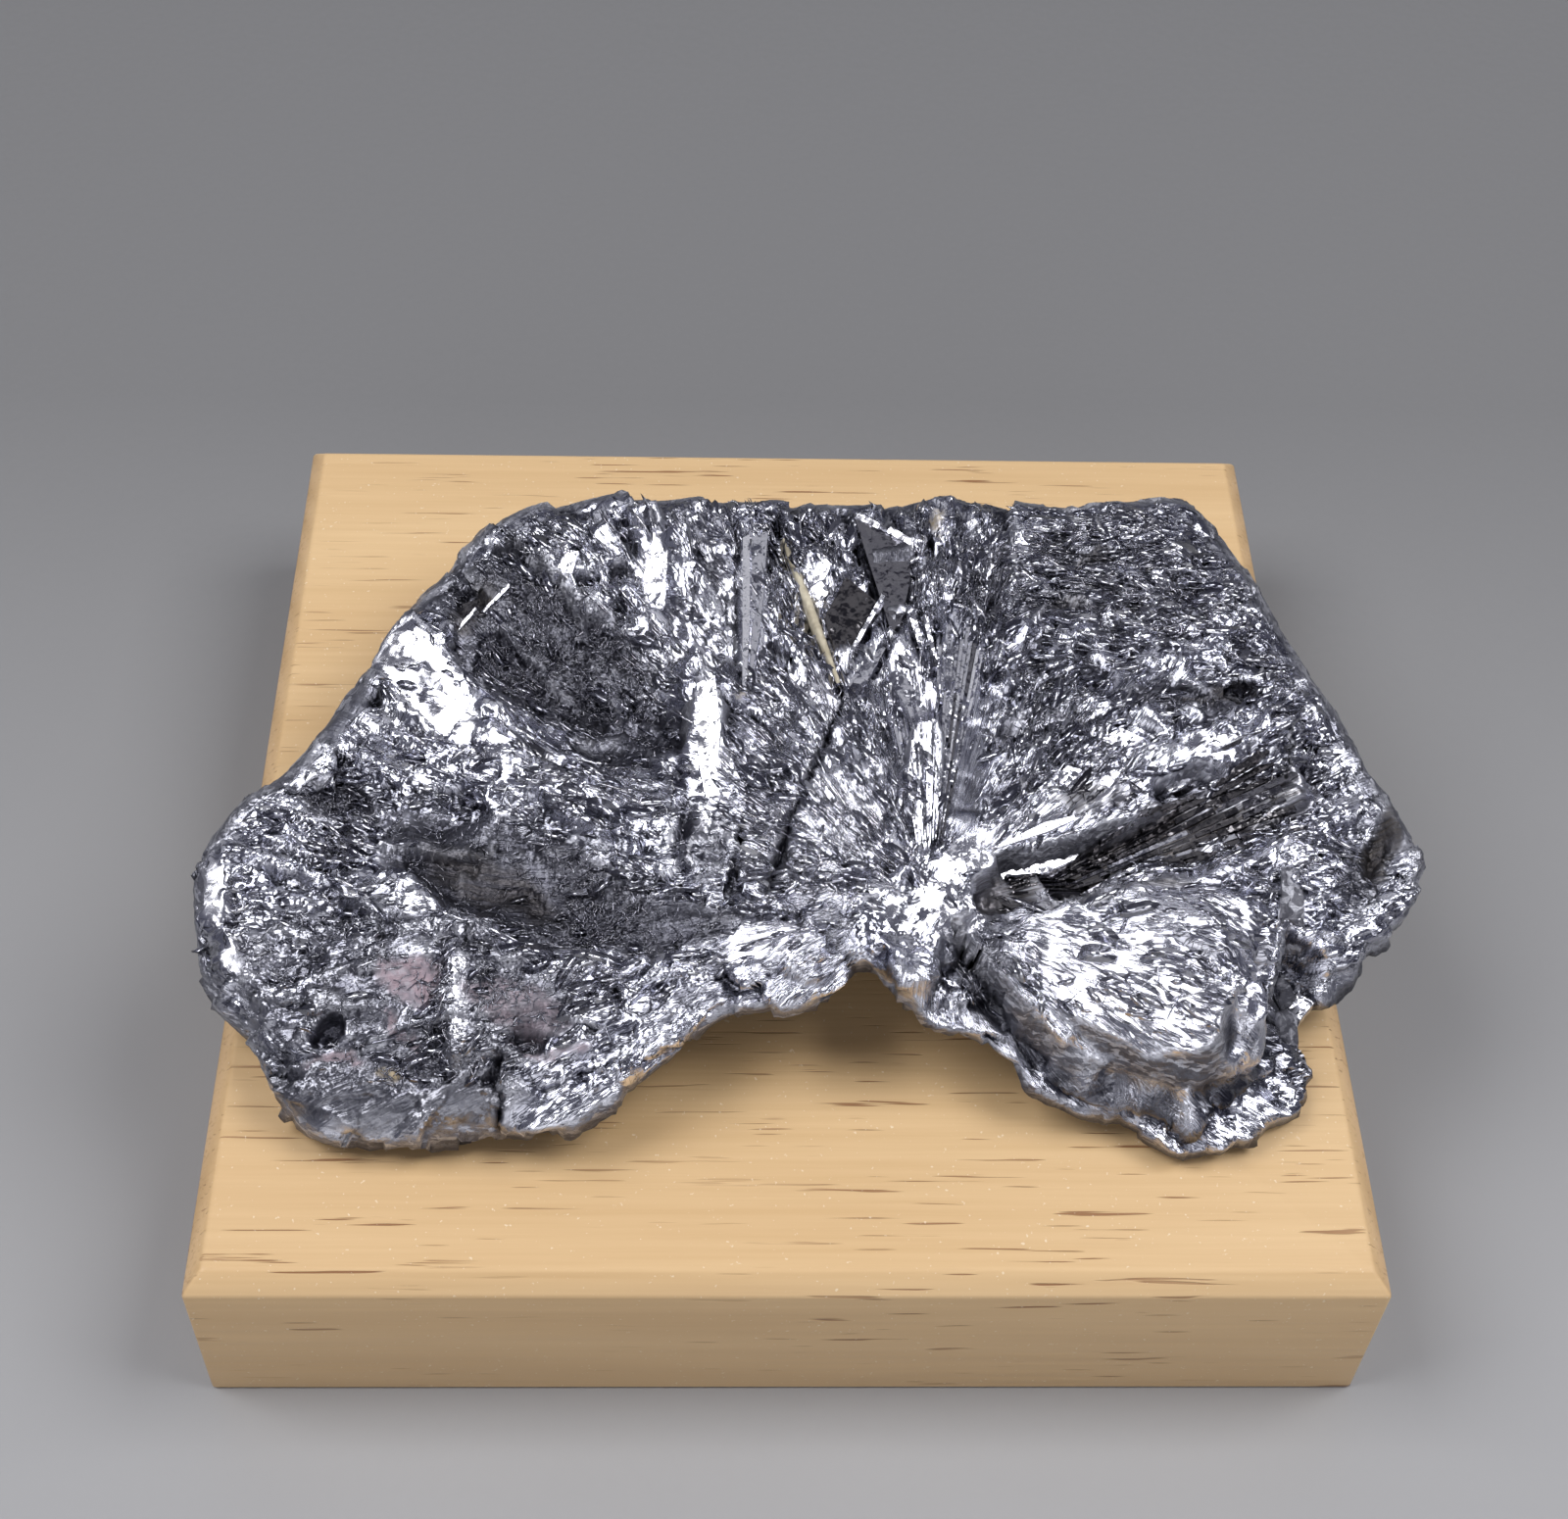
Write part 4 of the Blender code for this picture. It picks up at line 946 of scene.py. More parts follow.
def from_back_rim(plan):
    """Distance from each plan point to the smooth rim that runs round the left, back and right."""
    return distance_to_line(plan, smooth_curve(BACK_EDGE, 60))[0]


def back_rim_share(plan):
    """Share of the fine relief kept near the smooth rim."""
    away = from_back_rim(plan)
    return BACK_RIM_SHARE + (1.0 - BACK_RIM_SHARE) * ease(away / BACK_RIM_WIDTH - 0.1)


def front_share(points):
    """1 on the front of the mass, 0 behind it."""
    return ease((LEDGE_START - points[:, 1]) / 6.0)


def ledge_shares(points, normals):
    """Share of a wall at each point of the skin, and share of the satin band along the right lobe's lip."""
    wall = (1.0 - ease((normals[:, 2] - 0.30) / 0.45)) * ease((normals[:, 2] + 0.6) / 0.4)
    across = ease((points[:, 0] - 15.0) / 4.0) * ease((39.0 - points[:, 0]) / 3.0)
    lobe = across * ease((-24.0 - points[:, 1]) / 3.0)
    band = wall * lobe * ease((points[:, 2] - SATIN_LOW) / 1.2)
    return wall, band


def wall_relief(points, normals):
    """Lumps, thin layers and small flat cells on the walls; the lower ledge of the right lobe juts out."""
    wall, band = ledge_shares(points, normals)
    front = front_share(points)
    lumps = summed_noise(points, WALL_LUMPS)
    layers = summed_noise(points * LEDGE_SQUEEZE, WALL_LAYERS)
    upward = np.tile((0.0, 0.0, 1.0), (len(points), 1))
    chips = sum(flat_cells(points, upward, *chip) for chip in WALL_CHIPS)
    chips = np.clip(chips, -MOST_CHIP, MOST_CHIP)
    low = ease((SATIN_LOW - points[:, 2]) / 2.0) * ease((points[:, 0] - 14.0) / 4.0)
    foot = front * ease((-18.0 - points[:, 0]) / 6.0)
    relief = wall * front * (lumps * (1.0 - 0.5 * band - 0.4 * foot) + 1.5 * low)
    return relief + wall * (1.0 - 0.6 * band - 0.7 * foot) * (0.26 * layers + (0.35 + 0.10 * front) * chips)


def crumpled(points, normals):
    """The skin with facets of three sizes, fanned leaves, rough walls and lumps at the focus.

    All of this relief is laid along the skin's normals.
    """
    plan = points[:, :2]
    radius, bearing, outward = from_focus(plan)
    flow = in_space(outward)
    on_top = ease((normals[:, 2] - 0.1) / 0.3)
    shift = wander(points, 3.0, 900)
    felt = zone_mask(plan, FELT_ZONES) * on_top
    calm = np.maximum(plate_cover(plan), zone_mask(plan, CALM_ZONES))
    calm = np.maximum(calm, zone_mask(plan, BRIGHT_ZONES)) * on_top
    rim = back_rim_share(plan)
    coarse = flat_cells(
        points + FACET_WANDER * shift, flow, FACET_SIZE, FACET_STRETCH, FACET_SLOPE, FACET_STEP, FACET_SEED
    )
    relief = coarse * (1.0 - PLATE_CALM * calm) * upward_share(normals) * (0.15 + 0.85 * rim)
    fine = np.zeros(len(points))
    for size, stretch, slope, step, stray, seed in FINE_FACETS:
        fine += flat_cells(points + stray * shift, flow, size, stretch, slope, step, seed)
    fine *= (0.4 + 0.6 * on_top) * (1.0 - 0.4 * felt)
    leafy = (0.55 + 0.45 * fan_share(bearing)) * on_top * (1.0 - 0.75 * felt) * ease((radius - 2.0) / 6.0)
    for leaf in SKIN_LEAVES:
        fine += skin_leaves(plan, *leaf) * leafy
    steep, _ = ledge_shares(points, normals)
    relief += fine * (1.0 - 0.85 * calm) * rim * (1.0 - 0.5 * steep) + wall_relief(points, normals)
    close = (1.0 - ease((radius - 7.0) / 5.0)) * on_top
    relief += close * summed_noise(points, FOCUS_LUMPS)
    points = points + normals * relief[:, None]
    points[:, 2] = np.maximum(points[:, 2], REST_GAP)
    return points


def mass_grid(stations, top_steps, under_steps):
    """The fine skin of the mass as rows of closed section loops: smooth normals and crumpled points."""
    front = smooth_curve(FRONT_EDGE, stations + 2)[1:-1]
    back = smooth_curve(BACK_EDGE, stations + 2)[1:-1]
    over = across_shares(top_steps)
    below = across_shares(under_steps)[::-1][1:-1]
    shares = np.concatenate((over, below))
    is_top = np.arange(len(shares)) <= top_steps
    plan = front[:, None, :] + (back - front)[:, None, :] * shares[None, :, None]
    top, under = sheet_heights(plan.reshape(-1, 2))
    shape = plan.shape[:2]
    height = np.where(is_top[None, :], top.reshape(shape), under.reshape(shape))
    smooth = np.dstack((plan, height))
    normals = loop_normals(smooth)
    fine = crumpled(smooth.reshape(-1, 3), normals.reshape(-1, 3)).reshape(smooth.shape)
    return normals, fine


def loop_quads(rows, around):
    """Quads between neighbouring closed loops of points."""
    row = np.arange(rows - 1)[:, None] * around
    step = np.arange(around)[None, :]
    onward = (step + 1) % around
    corners = (row + step, row + around + step, row + around + onward, row + onward)
    return np.stack(corners, -1).reshape(-1, 4)


def loop_faces(rows, around):
    """Quads between neighbouring loops, and the fans of triangles that close both ends at two last points."""
    first = np.arange(around)
    after = (first + 1) % around
    last = (rows - 1) * around
    left = np.column_stack((np.full(around, rows * around), first, after))
    right = np.column_stack((np.full(around, rows * around + 1), last + after, last + first))
    return loop_quads(rows, around), np.vstack((left, right))


def to_metres(points):
    """Points in millimetres above the block, as positions in metres."""
    placed = np.asarray(points, dtype=float) * MM
    placed[..., 2] += BLOCK_TOP
    return placed


def add_object(name, data):
    """An object in the scene with a mesh, lamp or camera of its own."""
    made = bpy.data.objects.new(name, data)
    bpy.context.scene.collection.objects.link(made)
    return made


def mesh_from_arrays(name, places, quads, triangles):
    """A mesh object from point, quad and triangle arrays."""
    mesh = bpy.data.meshes.new(name)
    corners = np.concatenate((quads.ravel(), triangles.ravel()))
    sizes = np.concatenate((np.full(len(quads), 4), np.full(len(triangles), 3)))
    mesh.vertices.add(len(places))
    mesh.vertices.foreach_set("co", places.astype(np.float32).ravel())
    mesh.loops.add(len(corners))
    mesh.loops.foreach_set("vertex_index", corners.astype(np.int32))
    mesh.polygons.add(len(sizes))
    mesh.polygons.foreach_set("loop_start", (np.cumsum(sizes) - sizes).astype(np.int32))
    mesh.polygons.foreach_set("loop_total", sizes.astype(np.int32))
    mesh.update()
    return add_object(name, mesh)


def add_colours(mesh, name, columns):
    """A four-column value on every point of a mesh, for the materials to read."""
    layer = mesh.attributes.new(name, "FLOAT_COLOR", "POINT")
    layer.data.foreach_set("color", np.column_stack(columns).astype(np.float32).ravel())


def whole_numbers(items, name):
    """One whole number of each corner or face of a mesh, as an array."""
    values = np.zeros(len(items), dtype=np.int32)
    items.foreach_get(name, values)
    return values


def add_flow_map(mesh, plan):
    """A UV map that runs along the blades: distance from the focus, and arc round it, in centimetres.

    The turn of each face's corners is counted from that of its first corner, so that no face wraps.
    """
    corners = whole_numbers(mesh.loops, "vertex_index")
    starts = whole_numbers(mesh.polygons, "loop_start")
    sizes = whole_numbers(mesh.polygons, "loop_total")
    radius, turn = turn_round_focus(plan)
    base = np.repeat(turn[corners[starts]], sizes)
    own = turn[corners]
    own = own - 2 * math.pi * np.round((own - base) / (2 * math.pi))
    layer = mesh.uv_layers.new(name="flow")
    pairs = np.column_stack((radius[corners], own * BLADE_RADIUS)) * 0.1
    layer.data.foreach_set("uv", pairs.astype(np.float32).ravel())


def finish_and_painted_light(points, normals):
    """The finish and painted light over the mass: dark felt, partly painted shade; bright leaves, painted
    highlight; brown plates, painted reflection of the wood; calm, pink, ochre and rim.
    """
    stray = wander(points, 1.6, 700)[:, :2]
    plan = points[:, :2] + ZONE_STRAY * stray
    on_top = ease((normals[:, 2] - 0.15) / 0.3)
    zones = (FELT_ZONES, BRIGHT_ZONES, BROWN_ZONES, PINK_ZONES, OCHRE_ZONES)
    felt, bright, brown, pink, ochre = (zone_mask(plan, each) * on_top for each in zones)
    calm = np.maximum(zone_mask(plan, CALM_ZONES), 0.6 * brown) * on_top
    back_band = 1.0 - ease((from_back_rim(points[:, :2]) + 0.5 * stray[:, 0] - 0.9) / BACK_BAND_WIDTH)
    _, band = ledge_shares(points, normals)
    front = front_share(points)
    rim = np.maximum(1.0 - ease((normals[:, 2] - 0.10) / 0.55), 0.9 * back_band) * (1.0 - 0.8 * bright)
    sparkling = front * ease((points[:, 0] - 24.0) / 6.0)
    rim = np.maximum(rim * (1.0 - 0.15 * front - 0.5 * sparkling), band)
    rim = np.maximum(rim, 1.0 - ease((normals[:, 2] + 0.35) / 0.3))
    return (felt, bright, brown, calm), (pink, ochre, rim, crack_mask(points[:, :2]) * on_top)


def box_mean(values, reach):
    """Mean of a grid over a square window that reaches so many rows and columns each way, round the ends."""
    for axis in (0, 1):
        total = np.zeros_like(values)
        for shift in range(-reach, reach + 1):
            total += np.roll(values, shift, axis=axis)
        values = total / (2 * reach + 1)
    return values


def skin_mood(fine):
    """Four shares for each point of the skin and its two tips: crest, pit, quiet and near the focus.

    Crest and pit compare a point's height with the mean height round it, near by and farther away.
    The material lightens crests as painted highlight and darkens pits as painted shade.
    Quiet is a broad noise.
    """
    height = fine[:, :, 2]
    near = (height - box_mean(height, 4)) / 0.35
    far = (height - box_mean(height, 14)) / 1.1
    lift = 0.55 * near + 0.75 * far
    crest = np.clip(lift, 0.0, 1.0)
    pit = np.clip(-lift, 0.0, 1.0)
    points = fine.reshape(-1, 3)
    quiet = quiet_noise(points)
    radius, _, _ = from_focus(points[:, :2])
    close = 1.0 - ease((radius - 6.0) / 3.0)
    ends = np.zeros(2)
    return tuple(np.concatenate((part.ravel(), ends)) for part in (crest, pit, quiet, close))


def crack_mask(plan):
    """How far each plan point lies in a crack: a V across each line, from 0 to 1."""
    depth = np.zeros(len(plan))
    for line, half_width, _ in CRACKS:
        away, _ = distance_to_line(plan, line)
        depth = np.maximum(depth, np.clip(1.2 - away / half_width, 0.0, 1.0))
    return depth


def on_plates(plan):
    """1 for plan points inside a crystal plate's outline: on one and the same side of all its edges."""
    covered = np.zeros(len(plan), dtype=bool)
    for corners, _, _, _ in CRYSTAL_PLATES:
        outline = np.array(corners)
        edge = np.roll(outline, -1, axis=0) - outline
        away = plan[None, :, :] - outline[:, None, :]
        side = edge[:, 0, None] * away[:, :, 1] - edge[:, 1, None] * away[:, :, 0]
        covered |= (side > 0.0).all(axis=0) | (side < 0.0).all(axis=0)
    return covered.astype(float)


def pick_spots(fine, normals, weight, count, rng):
    """Random places on the top of the skin, as many as asked, with the skin's normals there."""
    rows, around = fine.shape[:2]
    along = np.gradient(fine, axis=0)
    across = np.gradient(fine, axis=1)
    area = np.linalg.norm(np.cross(along, across), axis=2) * weight
    chance = area.ravel() / area.sum()
    chosen = rng.choice(rows * around, size=count, p=chance)
    row, step = np.divmod(chosen, around)
    shift = rng.uniform(-0.5, 0.5, (2, count, 1))
    place = fine[row, step] + along[row, step] * shift[0] + across[row, step] * shift[1]
    return place, normals[row, step]


def unit(vectors):
    """Vectors scaled to length one."""
    return vectors / (np.linalg.norm(vectors, axis=1, keepdims=True) + 1e-12)


def faced_up(places, up):
    """Leaf normals: the skin's own, turned towards the lamp facing in the bright zones."""
    share = 0.85 * zone_mask(places[:, :2], BRIGHT_ZONES)[:, None]
    return unit(up * (1.0 - share) + np.array(LAMP_FACING) * share)


def strips(places, normals, headings, lengths, widths, tilts, bends, lifts, rings):
    """Thin closed leaves: each a spindle along its heading with a flat top and a keel below.

    Ring k of a leaf lies at share t from -1 to 1 of its half length, bowed sideways and upwards by
    parabolas of t, and its half width falls off as the square root of 1 - t squared.
    """
    count = len(places)
    turn_up = unit(normals)
    forward = unit(headings - turn_up * (headings * turn_up).sum(axis=1)[:, None])
    aside = np.cross(turn_up, forward)
    side_lean, end_lean = tilts
    ahead = unit(forward + turn_up * end_lean[:, None])
    flat = unit(aside + turn_up * side_lean[:, None])
    upward = np.cross(ahead, flat)
    share = np.linspace(-1.0, 1.0, rings + 2)[1:-1]
    width = np.sqrt(1.0 - share ** 2)
    side_bow, up_bow = bends
    middle = places + upward * lifts[:, None]

    def at(value):
        bow = 1.0 - value ** 2
        along = ahead * (0.5 * lengths * value)[:, None]
        return middle + along + flat * (side_bow * bow)[:, None] + upward * (up_bow * bow)[:, None]

    points = np.zeros((count, rings * 3 + 2, 3))
    for ring, (value, wide) in enumerate(zip(share, width)):
        centre = at(value)
        half = flat * (0.5 * widths * wide)[:, None]
        points[:, ring * 3] = centre - half
        points[:, ring * 3 + 1] = centre + half
        points[:, ring * 3 + 2] = centre - upward * (0.45 * widths * wide)[:, None]
    points[:, -2] = at(-1.0)
    points[:, -1] = at(1.0)
    return points


def strip_faces(count, rings):
    """Quads and end triangles for a batch of leaves from strips()."""
    base = np.arange(count)[:, None, None] * (rings * 3 + 2)
    return [(faces[None] + base).reshape(-1, faces.shape[1]) for faces in loop_faces(rings, 3)]


def leaf_piece(name, leaves, tones, rings, material):
    """One joined mesh of leaves, each with its own tone and the finish and painted light of the skin below
    it.
    """
    count = len(leaves)
    places = to_metres(leaves.reshape(-1, 3))
    quads, triangles = strip_faces(count, rings)
    made = mesh_from_arrays(name, places, quads, triangles)
    each = rings * 3 + 2
    add_colours(made.data, "leaf tone", [np.repeat(column, each) for column in tones])
    made.data.materials.append(material)
    return made


class Signal:
    """A value that a shader node puts out. Sums, differences and products of signals are Math nodes."""

    def __init__(self, socket):
        self.socket = socket
        self.tree = socket.id_data

    def __add__(self, other):
        return worked_out("ADD", self, other)

    def __sub__(self, other):
        return worked_out("SUBTRACT", self, other)

    def __rsub__(self, other):
        return worked_out("SUBTRACT", other, self)

    def __mul__(self, other):
        return worked_out("MULTIPLY", self, other)


def tree_of(*values):
    """The node tree of the first signal among some values."""
    return next(value.tree for value in values if isinstance(value, Signal))


def feed(made, inputs):
    """Give a node its inputs: a signal is linked, and a plain value is set on the socket."""
    for key, value in inputs.items():
        if isinstance(value, Signal):
            value.tree.links.new(value.socket, made.inputs[key])
        else:
            made.inputs[key].default_value = value


def add_node(tree, kind, inputs, **settings):
    """A shader node with its inputs and settings."""
    made = tree.nodes.new(kind)
    for key, value in settings.items():
        setattr(made, key, value)
    feed(made, inputs)
    return made


def signals(made, *names):
    """The named outputs of a node."""
    return [Signal(made.outputs[name]) for name in names]


def made_by(tree, kind, inputs, output=0, **settings):
    """One output of a new shader node."""
    return Signal(add_node(tree, kind, inputs, **settings).outputs[output])


def worked_out(operation, first, second):
    """The result of a Math node."""
    return made_by(tree_of(first, second), "ShaderNodeMath", {0: first, 1: second}, operation=operation)


def most(*values):
    """The largest of some values, of which the first is a signal."""
    largest = values[0]
    for value in values[1:]:
        largest = worked_out("MAXIMUM", largest, value)
    return largest


def vector_math(operation, first, second):
    """The result of a Vector Math node."""
    return made_by(tree_of(first, second), "ShaderNodeVectorMath", {0: first, 1: second}, operation=operation)


def scaled_vector(vector, factor):
    """A vector times a number."""
    inputs = {0: vector, "Scale": factor}
    return made_by(tree_of(vector, factor), "ShaderNodeVectorMath", inputs, operation="SCALE")


def stretched(vector, scale, place=(0.0, 0.0, 0.0)):
    """Coordinates stretched along each axis, then moved."""
    return made_by(vector.tree, "ShaderNodeMapping", {"Vector": vector, "Location": place, "Scale": scale})


def opaque(colour):
    """A plain colour as a shader's four numbers; a signal stays as it is."""
    return colour if isinstance(colour, Signal) else (*colour[:3], 1.0)


def mixed(share, first, second):
    """A colour between two, by a share from 0 to 1."""
    inputs = {0: share, 6: opaque(first), 7: opaque(second)}
    return made_by(share.tree, "ShaderNodeMix", inputs, 2, data_type="RGBA")


def painted(colour, *tints):
    """A colour with tints laid over it one after the other, each by its own share."""
    for share, tint in tints:
        colour = mixed(share, colour, tint)
    return colour


def mixed_vector(share, first, second):
    """A vector between two, by a share from 0 to 1."""
    return made_by(share.tree, "ShaderNodeMix", {0: share, 4: first, 5: second}, 1, data_type="VECTOR")


def ranged(value, low, high, start=0.0, end=1.0):
    """A value moved from the range low..high to start..end, and kept inside it."""
    return made_by(value.tree, "ShaderNodeMapRange", {0: value, 1: low, 2: high, 3: start, 4: end})


def noise_of(vector, scale, detail=2.0, distortion=0.0, output="Fac"):
    """The value of a Noise node on the given coordinates, or its colour."""
    inputs = {"Vector": vector, "Scale": scale, "Detail": detail, "Distortion": distortion}
    return made_by(vector.tree, "ShaderNodeTexNoise", inputs, output)


def cells_of(vector, scale, output):
    """The random colour of each cell of a Voronoi node, or the distance from its point."""
    return made_by(vector.tree, "ShaderNodeTexVoronoi", {"Vector": vector, "Scale": scale}, output)


def axes_of(vector):
    """The three parts of a vector."""
    return signals(add_node(vector.tree, "ShaderNodeSeparateXYZ", {0: vector}), "X", "Y", "Z")


def face_normal(tree):
    """The surface's own normal."""
    return made_by(tree, "ShaderNodeNewGeometry", {}, "Normal")


def bumped(height, strength, distance):
    """The normal that a height gives."""
    inputs = {"Height": height, "Strength": strength, "Distance": distance}
    return made_by(height.tree, "ShaderNodeBump", inputs, "Normal")


def new_material(name):
    """An empty Principled material: itself, its shader and its Object coordinates."""
    material = bpy.data.materials.new(name)
    material.use_nodes = True
    here = made_by(material.node_tree, "ShaderNodeTexCoord", {}, "Object")
    return material, material.node_tree.nodes["Principled BSDF"], here


def foil_group():
    """Normals, tones and lines of crumpled foil.

    Normal = the base normal + tilt x (broad noise + fine noise + cell colour, each counted from its
    middle and times its own lean). Line is 1 where a noise passes one of its even levels, so that thin
    lines curl over the foil as level curves do on a map. Glint is the cell colour's green part.
    """
    group = bpy.data.node_groups.new("foil facets", "ShaderNodeTree")
    for name, way, kind in FOIL_SOCKETS:
        group.interface.new_socket(name, in_out=way, socket_type=kind)
    here, base_normal, tilt = signals(group.nodes.new("NodeGroupInput"), "Coordinates", "Base Normal", "Tilt")
    middle = (0.5, 0.5, 0.5)
    broad = vector_math("SUBTRACT", noise_of(here, FOIL_BROAD, 1.0, 0.6, "Color"), middle)
    fine = vector_math("SUBTRACT", noise_of(here, FOIL_FINE, 1.0, 0.8, "Color"), middle)
    cells = cells_of(vector_math("ADD", here, scaled_vector(broad, FOIL_STRAY)), FOIL_CELLS, "Color")
    noises = vector_math("ADD", scaled_vector(broad, BROAD_LEAN), scaled_vector(fine, FINE_LEAN))
    lean = vector_math("ADD", noises, scaled_vector(vector_math("SUBTRACT", cells, middle), CELL_LEAN))
    total = vector_math("ADD", base_normal, scaled_vector(lean, tilt))
    normal = made_by(group, "ShaderNodeVectorMath", {0: total}, operation="NORMALIZE")
    glint = made_by(group, "ShaderNodeSeparateColor", {"Color": cells}, "Green")
    line = ranged(worked_out("PINGPONG", noise_of(here, FOIL_LINES, 1.5, 1.2), LINE_STEP), 0.010, 0.003)
    feed(group.nodes.new("NodeGroupOutput"), {"Normal": normal, "Glint": glint, "Line": line})
    return group


def place_foil(coordinates, base_normal, tilt):
    """The foil facets placed in a material: normal, glint and line."""
    group = bpy.data.node_groups.get("foil facets") or foil_group()
    inputs = {"Coordinates": coordinates, "Base Normal": base_normal, "Tilt": tilt}
    made = add_node(coordinates.tree, "ShaderNodeGroup", inputs, node_tree=group)
    return signals(made, "Normal", "Glint", "Line")


def flow_place(tree):
    """The UV map that runs along the blades."""
    return made_by(tree, "ShaderNodeUVMap", {}, "UV", uv_map="flow")


def streak_height(tree):
    """Striation along the blades: noise on the flow map, stretched along it."""
    flow = flow_place(tree)
    broad = noise_of(stretched(flow, (1.6, 34.0, 1.0)), 1.0, 3.0, 0.4)
    fine = noise_of(stretched(flow, (4.0, 90.0, 1.0)), 1.0, 2.0, 0.3)
    return broad + fine * 0.5


def split_attribute(tree, name):
    """The four values of a four-column attribute."""
    colour, last = signals(add_node(tree, "ShaderNodeAttribute", {}, attribute_name=name), "Color", "Alpha")
    parts = add_node(tree, "ShaderNodeSeparateColor", {"Color": colour})
    return (*signals(parts, "Red", "Green", "Blue"), last)


def foil_place(here, felt, rim, close):
    """Where the foil of the mass is read, so that its facets lie as the crystals do.

    They are fanned round the focus but not close to it, lie along X beyond the east grain's corner,
    are small in the felt and layered on the walls.
    """
    east, north, _ = axes_of(here)
    waver = ranged(noise_of(here, 150.0), 0.3, 0.7, -4.0 * MM, 4.0 * MM)
    past_east = ranged(east + waver, EAST_GRAIN[0] * MM, (EAST_GRAIN[0] + 1.0) * MM)
    past_north = ranged(north, EAST_GRAIN[1] * MM, (EAST_GRAIN[1] + 1.0) * MM)
    fanned = stretched(flow_place(here.tree), (0.0030, 0.01, 1.0))
    place = mixed_vector(ranged(close, 0.45, 0.55), fanned, here)
    place = mixed_vector(past_east * past_north, place, vector_math("MULTIPLY", here, (0.45, 1.0, 1.0)))
    place = mixed_vector(ranged(most(felt, rim), 0.45, 0.55), place, scaled_vector(here, 2.4))
    return mixed_vector(ranged(rim, 0.3, 0.4), place, vector_math("MULTIPLY", here, (0.8, 0.8, 2.6)))


def mass_material(look):
    """Molybdenite: grey metal foil with painted highlight on the bright leaves, a painted brown reflection on
    the smooth plates, painted light on crests and painted shade in pits, dark and rough in the felt (partly
    painted shade) and on the rim.
    """
    material, shader, here = new_material("molybdenite")
    felt, bright, brown, calm = split_attribute(here.tree, "zone finish")
    pink, ochre, rim, crack = split_attribute(here.tree, "zone tint")
    crest, pit, quiet, close = split_attribute(here.tree, "zone mood")
    bright = bright * ranged(noise_of(here, 420.0, 3.0), 0.32, 0.56, 0.62, 1.0)
    still = most(calm, bright * 0.84, rim * 0.15, quiet * 0.55)
    tilt = ranged(still, 0.0, 1.0, look.foil_tilt, 0.10 * look.foil_tilt)
    streak = streak_height(here.tree)
    depth = ranged(close, 0.0, 1.0, 1.0, 0.0) * ranged(brown, 0.0, 1.0, 0.6, 1.0)
    turned = bright * LAMP_FACING_SHARE
    grooved = scaled_vector(bumped(streak, depth, GROOVE_DEPTH), 1.0 - turned)
    faced = vector_math("ADD", scaled_vector(LAMP_FACING, turned), grooved)
    normal, glint, line = place_foil(foil_place(here, felt, rim, close), faced, tilt)
    cloud = noise_of(here, 260.0, 4.0)
    # Crests are lightened here as painted highlight; glint and cloud add random tone.
    shade = glint * 0.5 + cloud * 0.6 + crest * 0.35 - quiet * 0.15
    curl = line * ranged(calm, 0.0, 0.8, 0.8, 0.15) * ranged(brown, 0.05, 0.25, 1.0, 0.0)
    rag = ranged(noise_of(here, 900.0, 3.0), 0.38, 0.62, 0.35, 1.0)
    colour = painted(
        mixed(ranged(shade, 0.2, 0.85), look.dark_metal, look.metal),
        # Pits darkened as painted shade.
        (pit * ranged(bright, 0.0, 1.0, 0.8, 0.25), look.gap_shade),
        (rim * ranged(glint, 0.5, 0.85, 0.95, 0.6), look.rim_metal),
        # Felt darkened, partly as painted shade of the hollows.
        (felt * 0.85, look.felt_and_shade),
        # Painted highlight: lighter metal on the bright zones.
        (bright * 0.85, look.highlight_metal),
        # Painted reflection: the brown of the wood, streaked, on the smooth plates.
        (brown * ranged(streak, 0.62, 0.88, 0.97, 0.35), look.wood_reflection_brown),
        # Painted shade in the cracks and along the lines between the leaves.
        (most(crack, curl * ranged(felt, 0.3, 0.6, 1.0, 0.0)), look.gap_shade),
        (curl * ranged(felt, 0.3, 0.6, 0.0, 0.8), look.felt_leaf),
        (pink * rag, look.pink_stain),
        (ochre * rag, look.ochre_stain),
    )
    stained = most(pink, ochre)
    matte = felt * 0.16 + rim * 0.24 + brown * 0.16 + stained * 0.3 + ranged(cloud, 0.3, 0.7, 0.15, 0.24)
    metal = ranged(most(stained, ranged(rim, 0.5, 1.0)), 0.0, 1.0, 1.0, 0.35)
    feed(shader, {"Base Color": colour, "Roughness": matte, "Metallic": metal, "Normal": normal})
    return material


def leaf_material(look):
    """Loose leaves, fibres and plates: each its own tone, darker where the skin below is felt (partly painted
    shade), with painted highlight and a painted brown reflection where the skin below has them.
    """
    material, shader, here = new_material("molybdenite_leaves")
    tone, felt, bright, brown = split_attribute(here.tree, "leaf tone")
    normal, glint, line = place_foil(here, face_normal(here.tree), look.leaf_tilt)
    colour = painted(
        mixed(tone * 0.8 + glint * 0.2, look.dark_metal, look.leaf_metal),
        # Felt darkened, partly as painted shade of the hollows.
        (felt * 0.75, look.felt_leaf),
        # Painted highlight on leaves over the bright zones.
        (bright * 0.7, look.highlight_metal),
        # Painted brown reflection of the wood on leaves over the smooth plates.
        (brown * 0.85, look.wood_reflection_brown),
        # Painted shade along the lines between the leaves.
        (line * 0.35, look.gap_shade),
    )
    matte = ranged(glint, 0.0, 1.0, 0.14, 0.24)
    feed(shader, {"Base Color": colour, "Roughness": matte, "Metallic": 1.0, "Normal": normal})
    return material


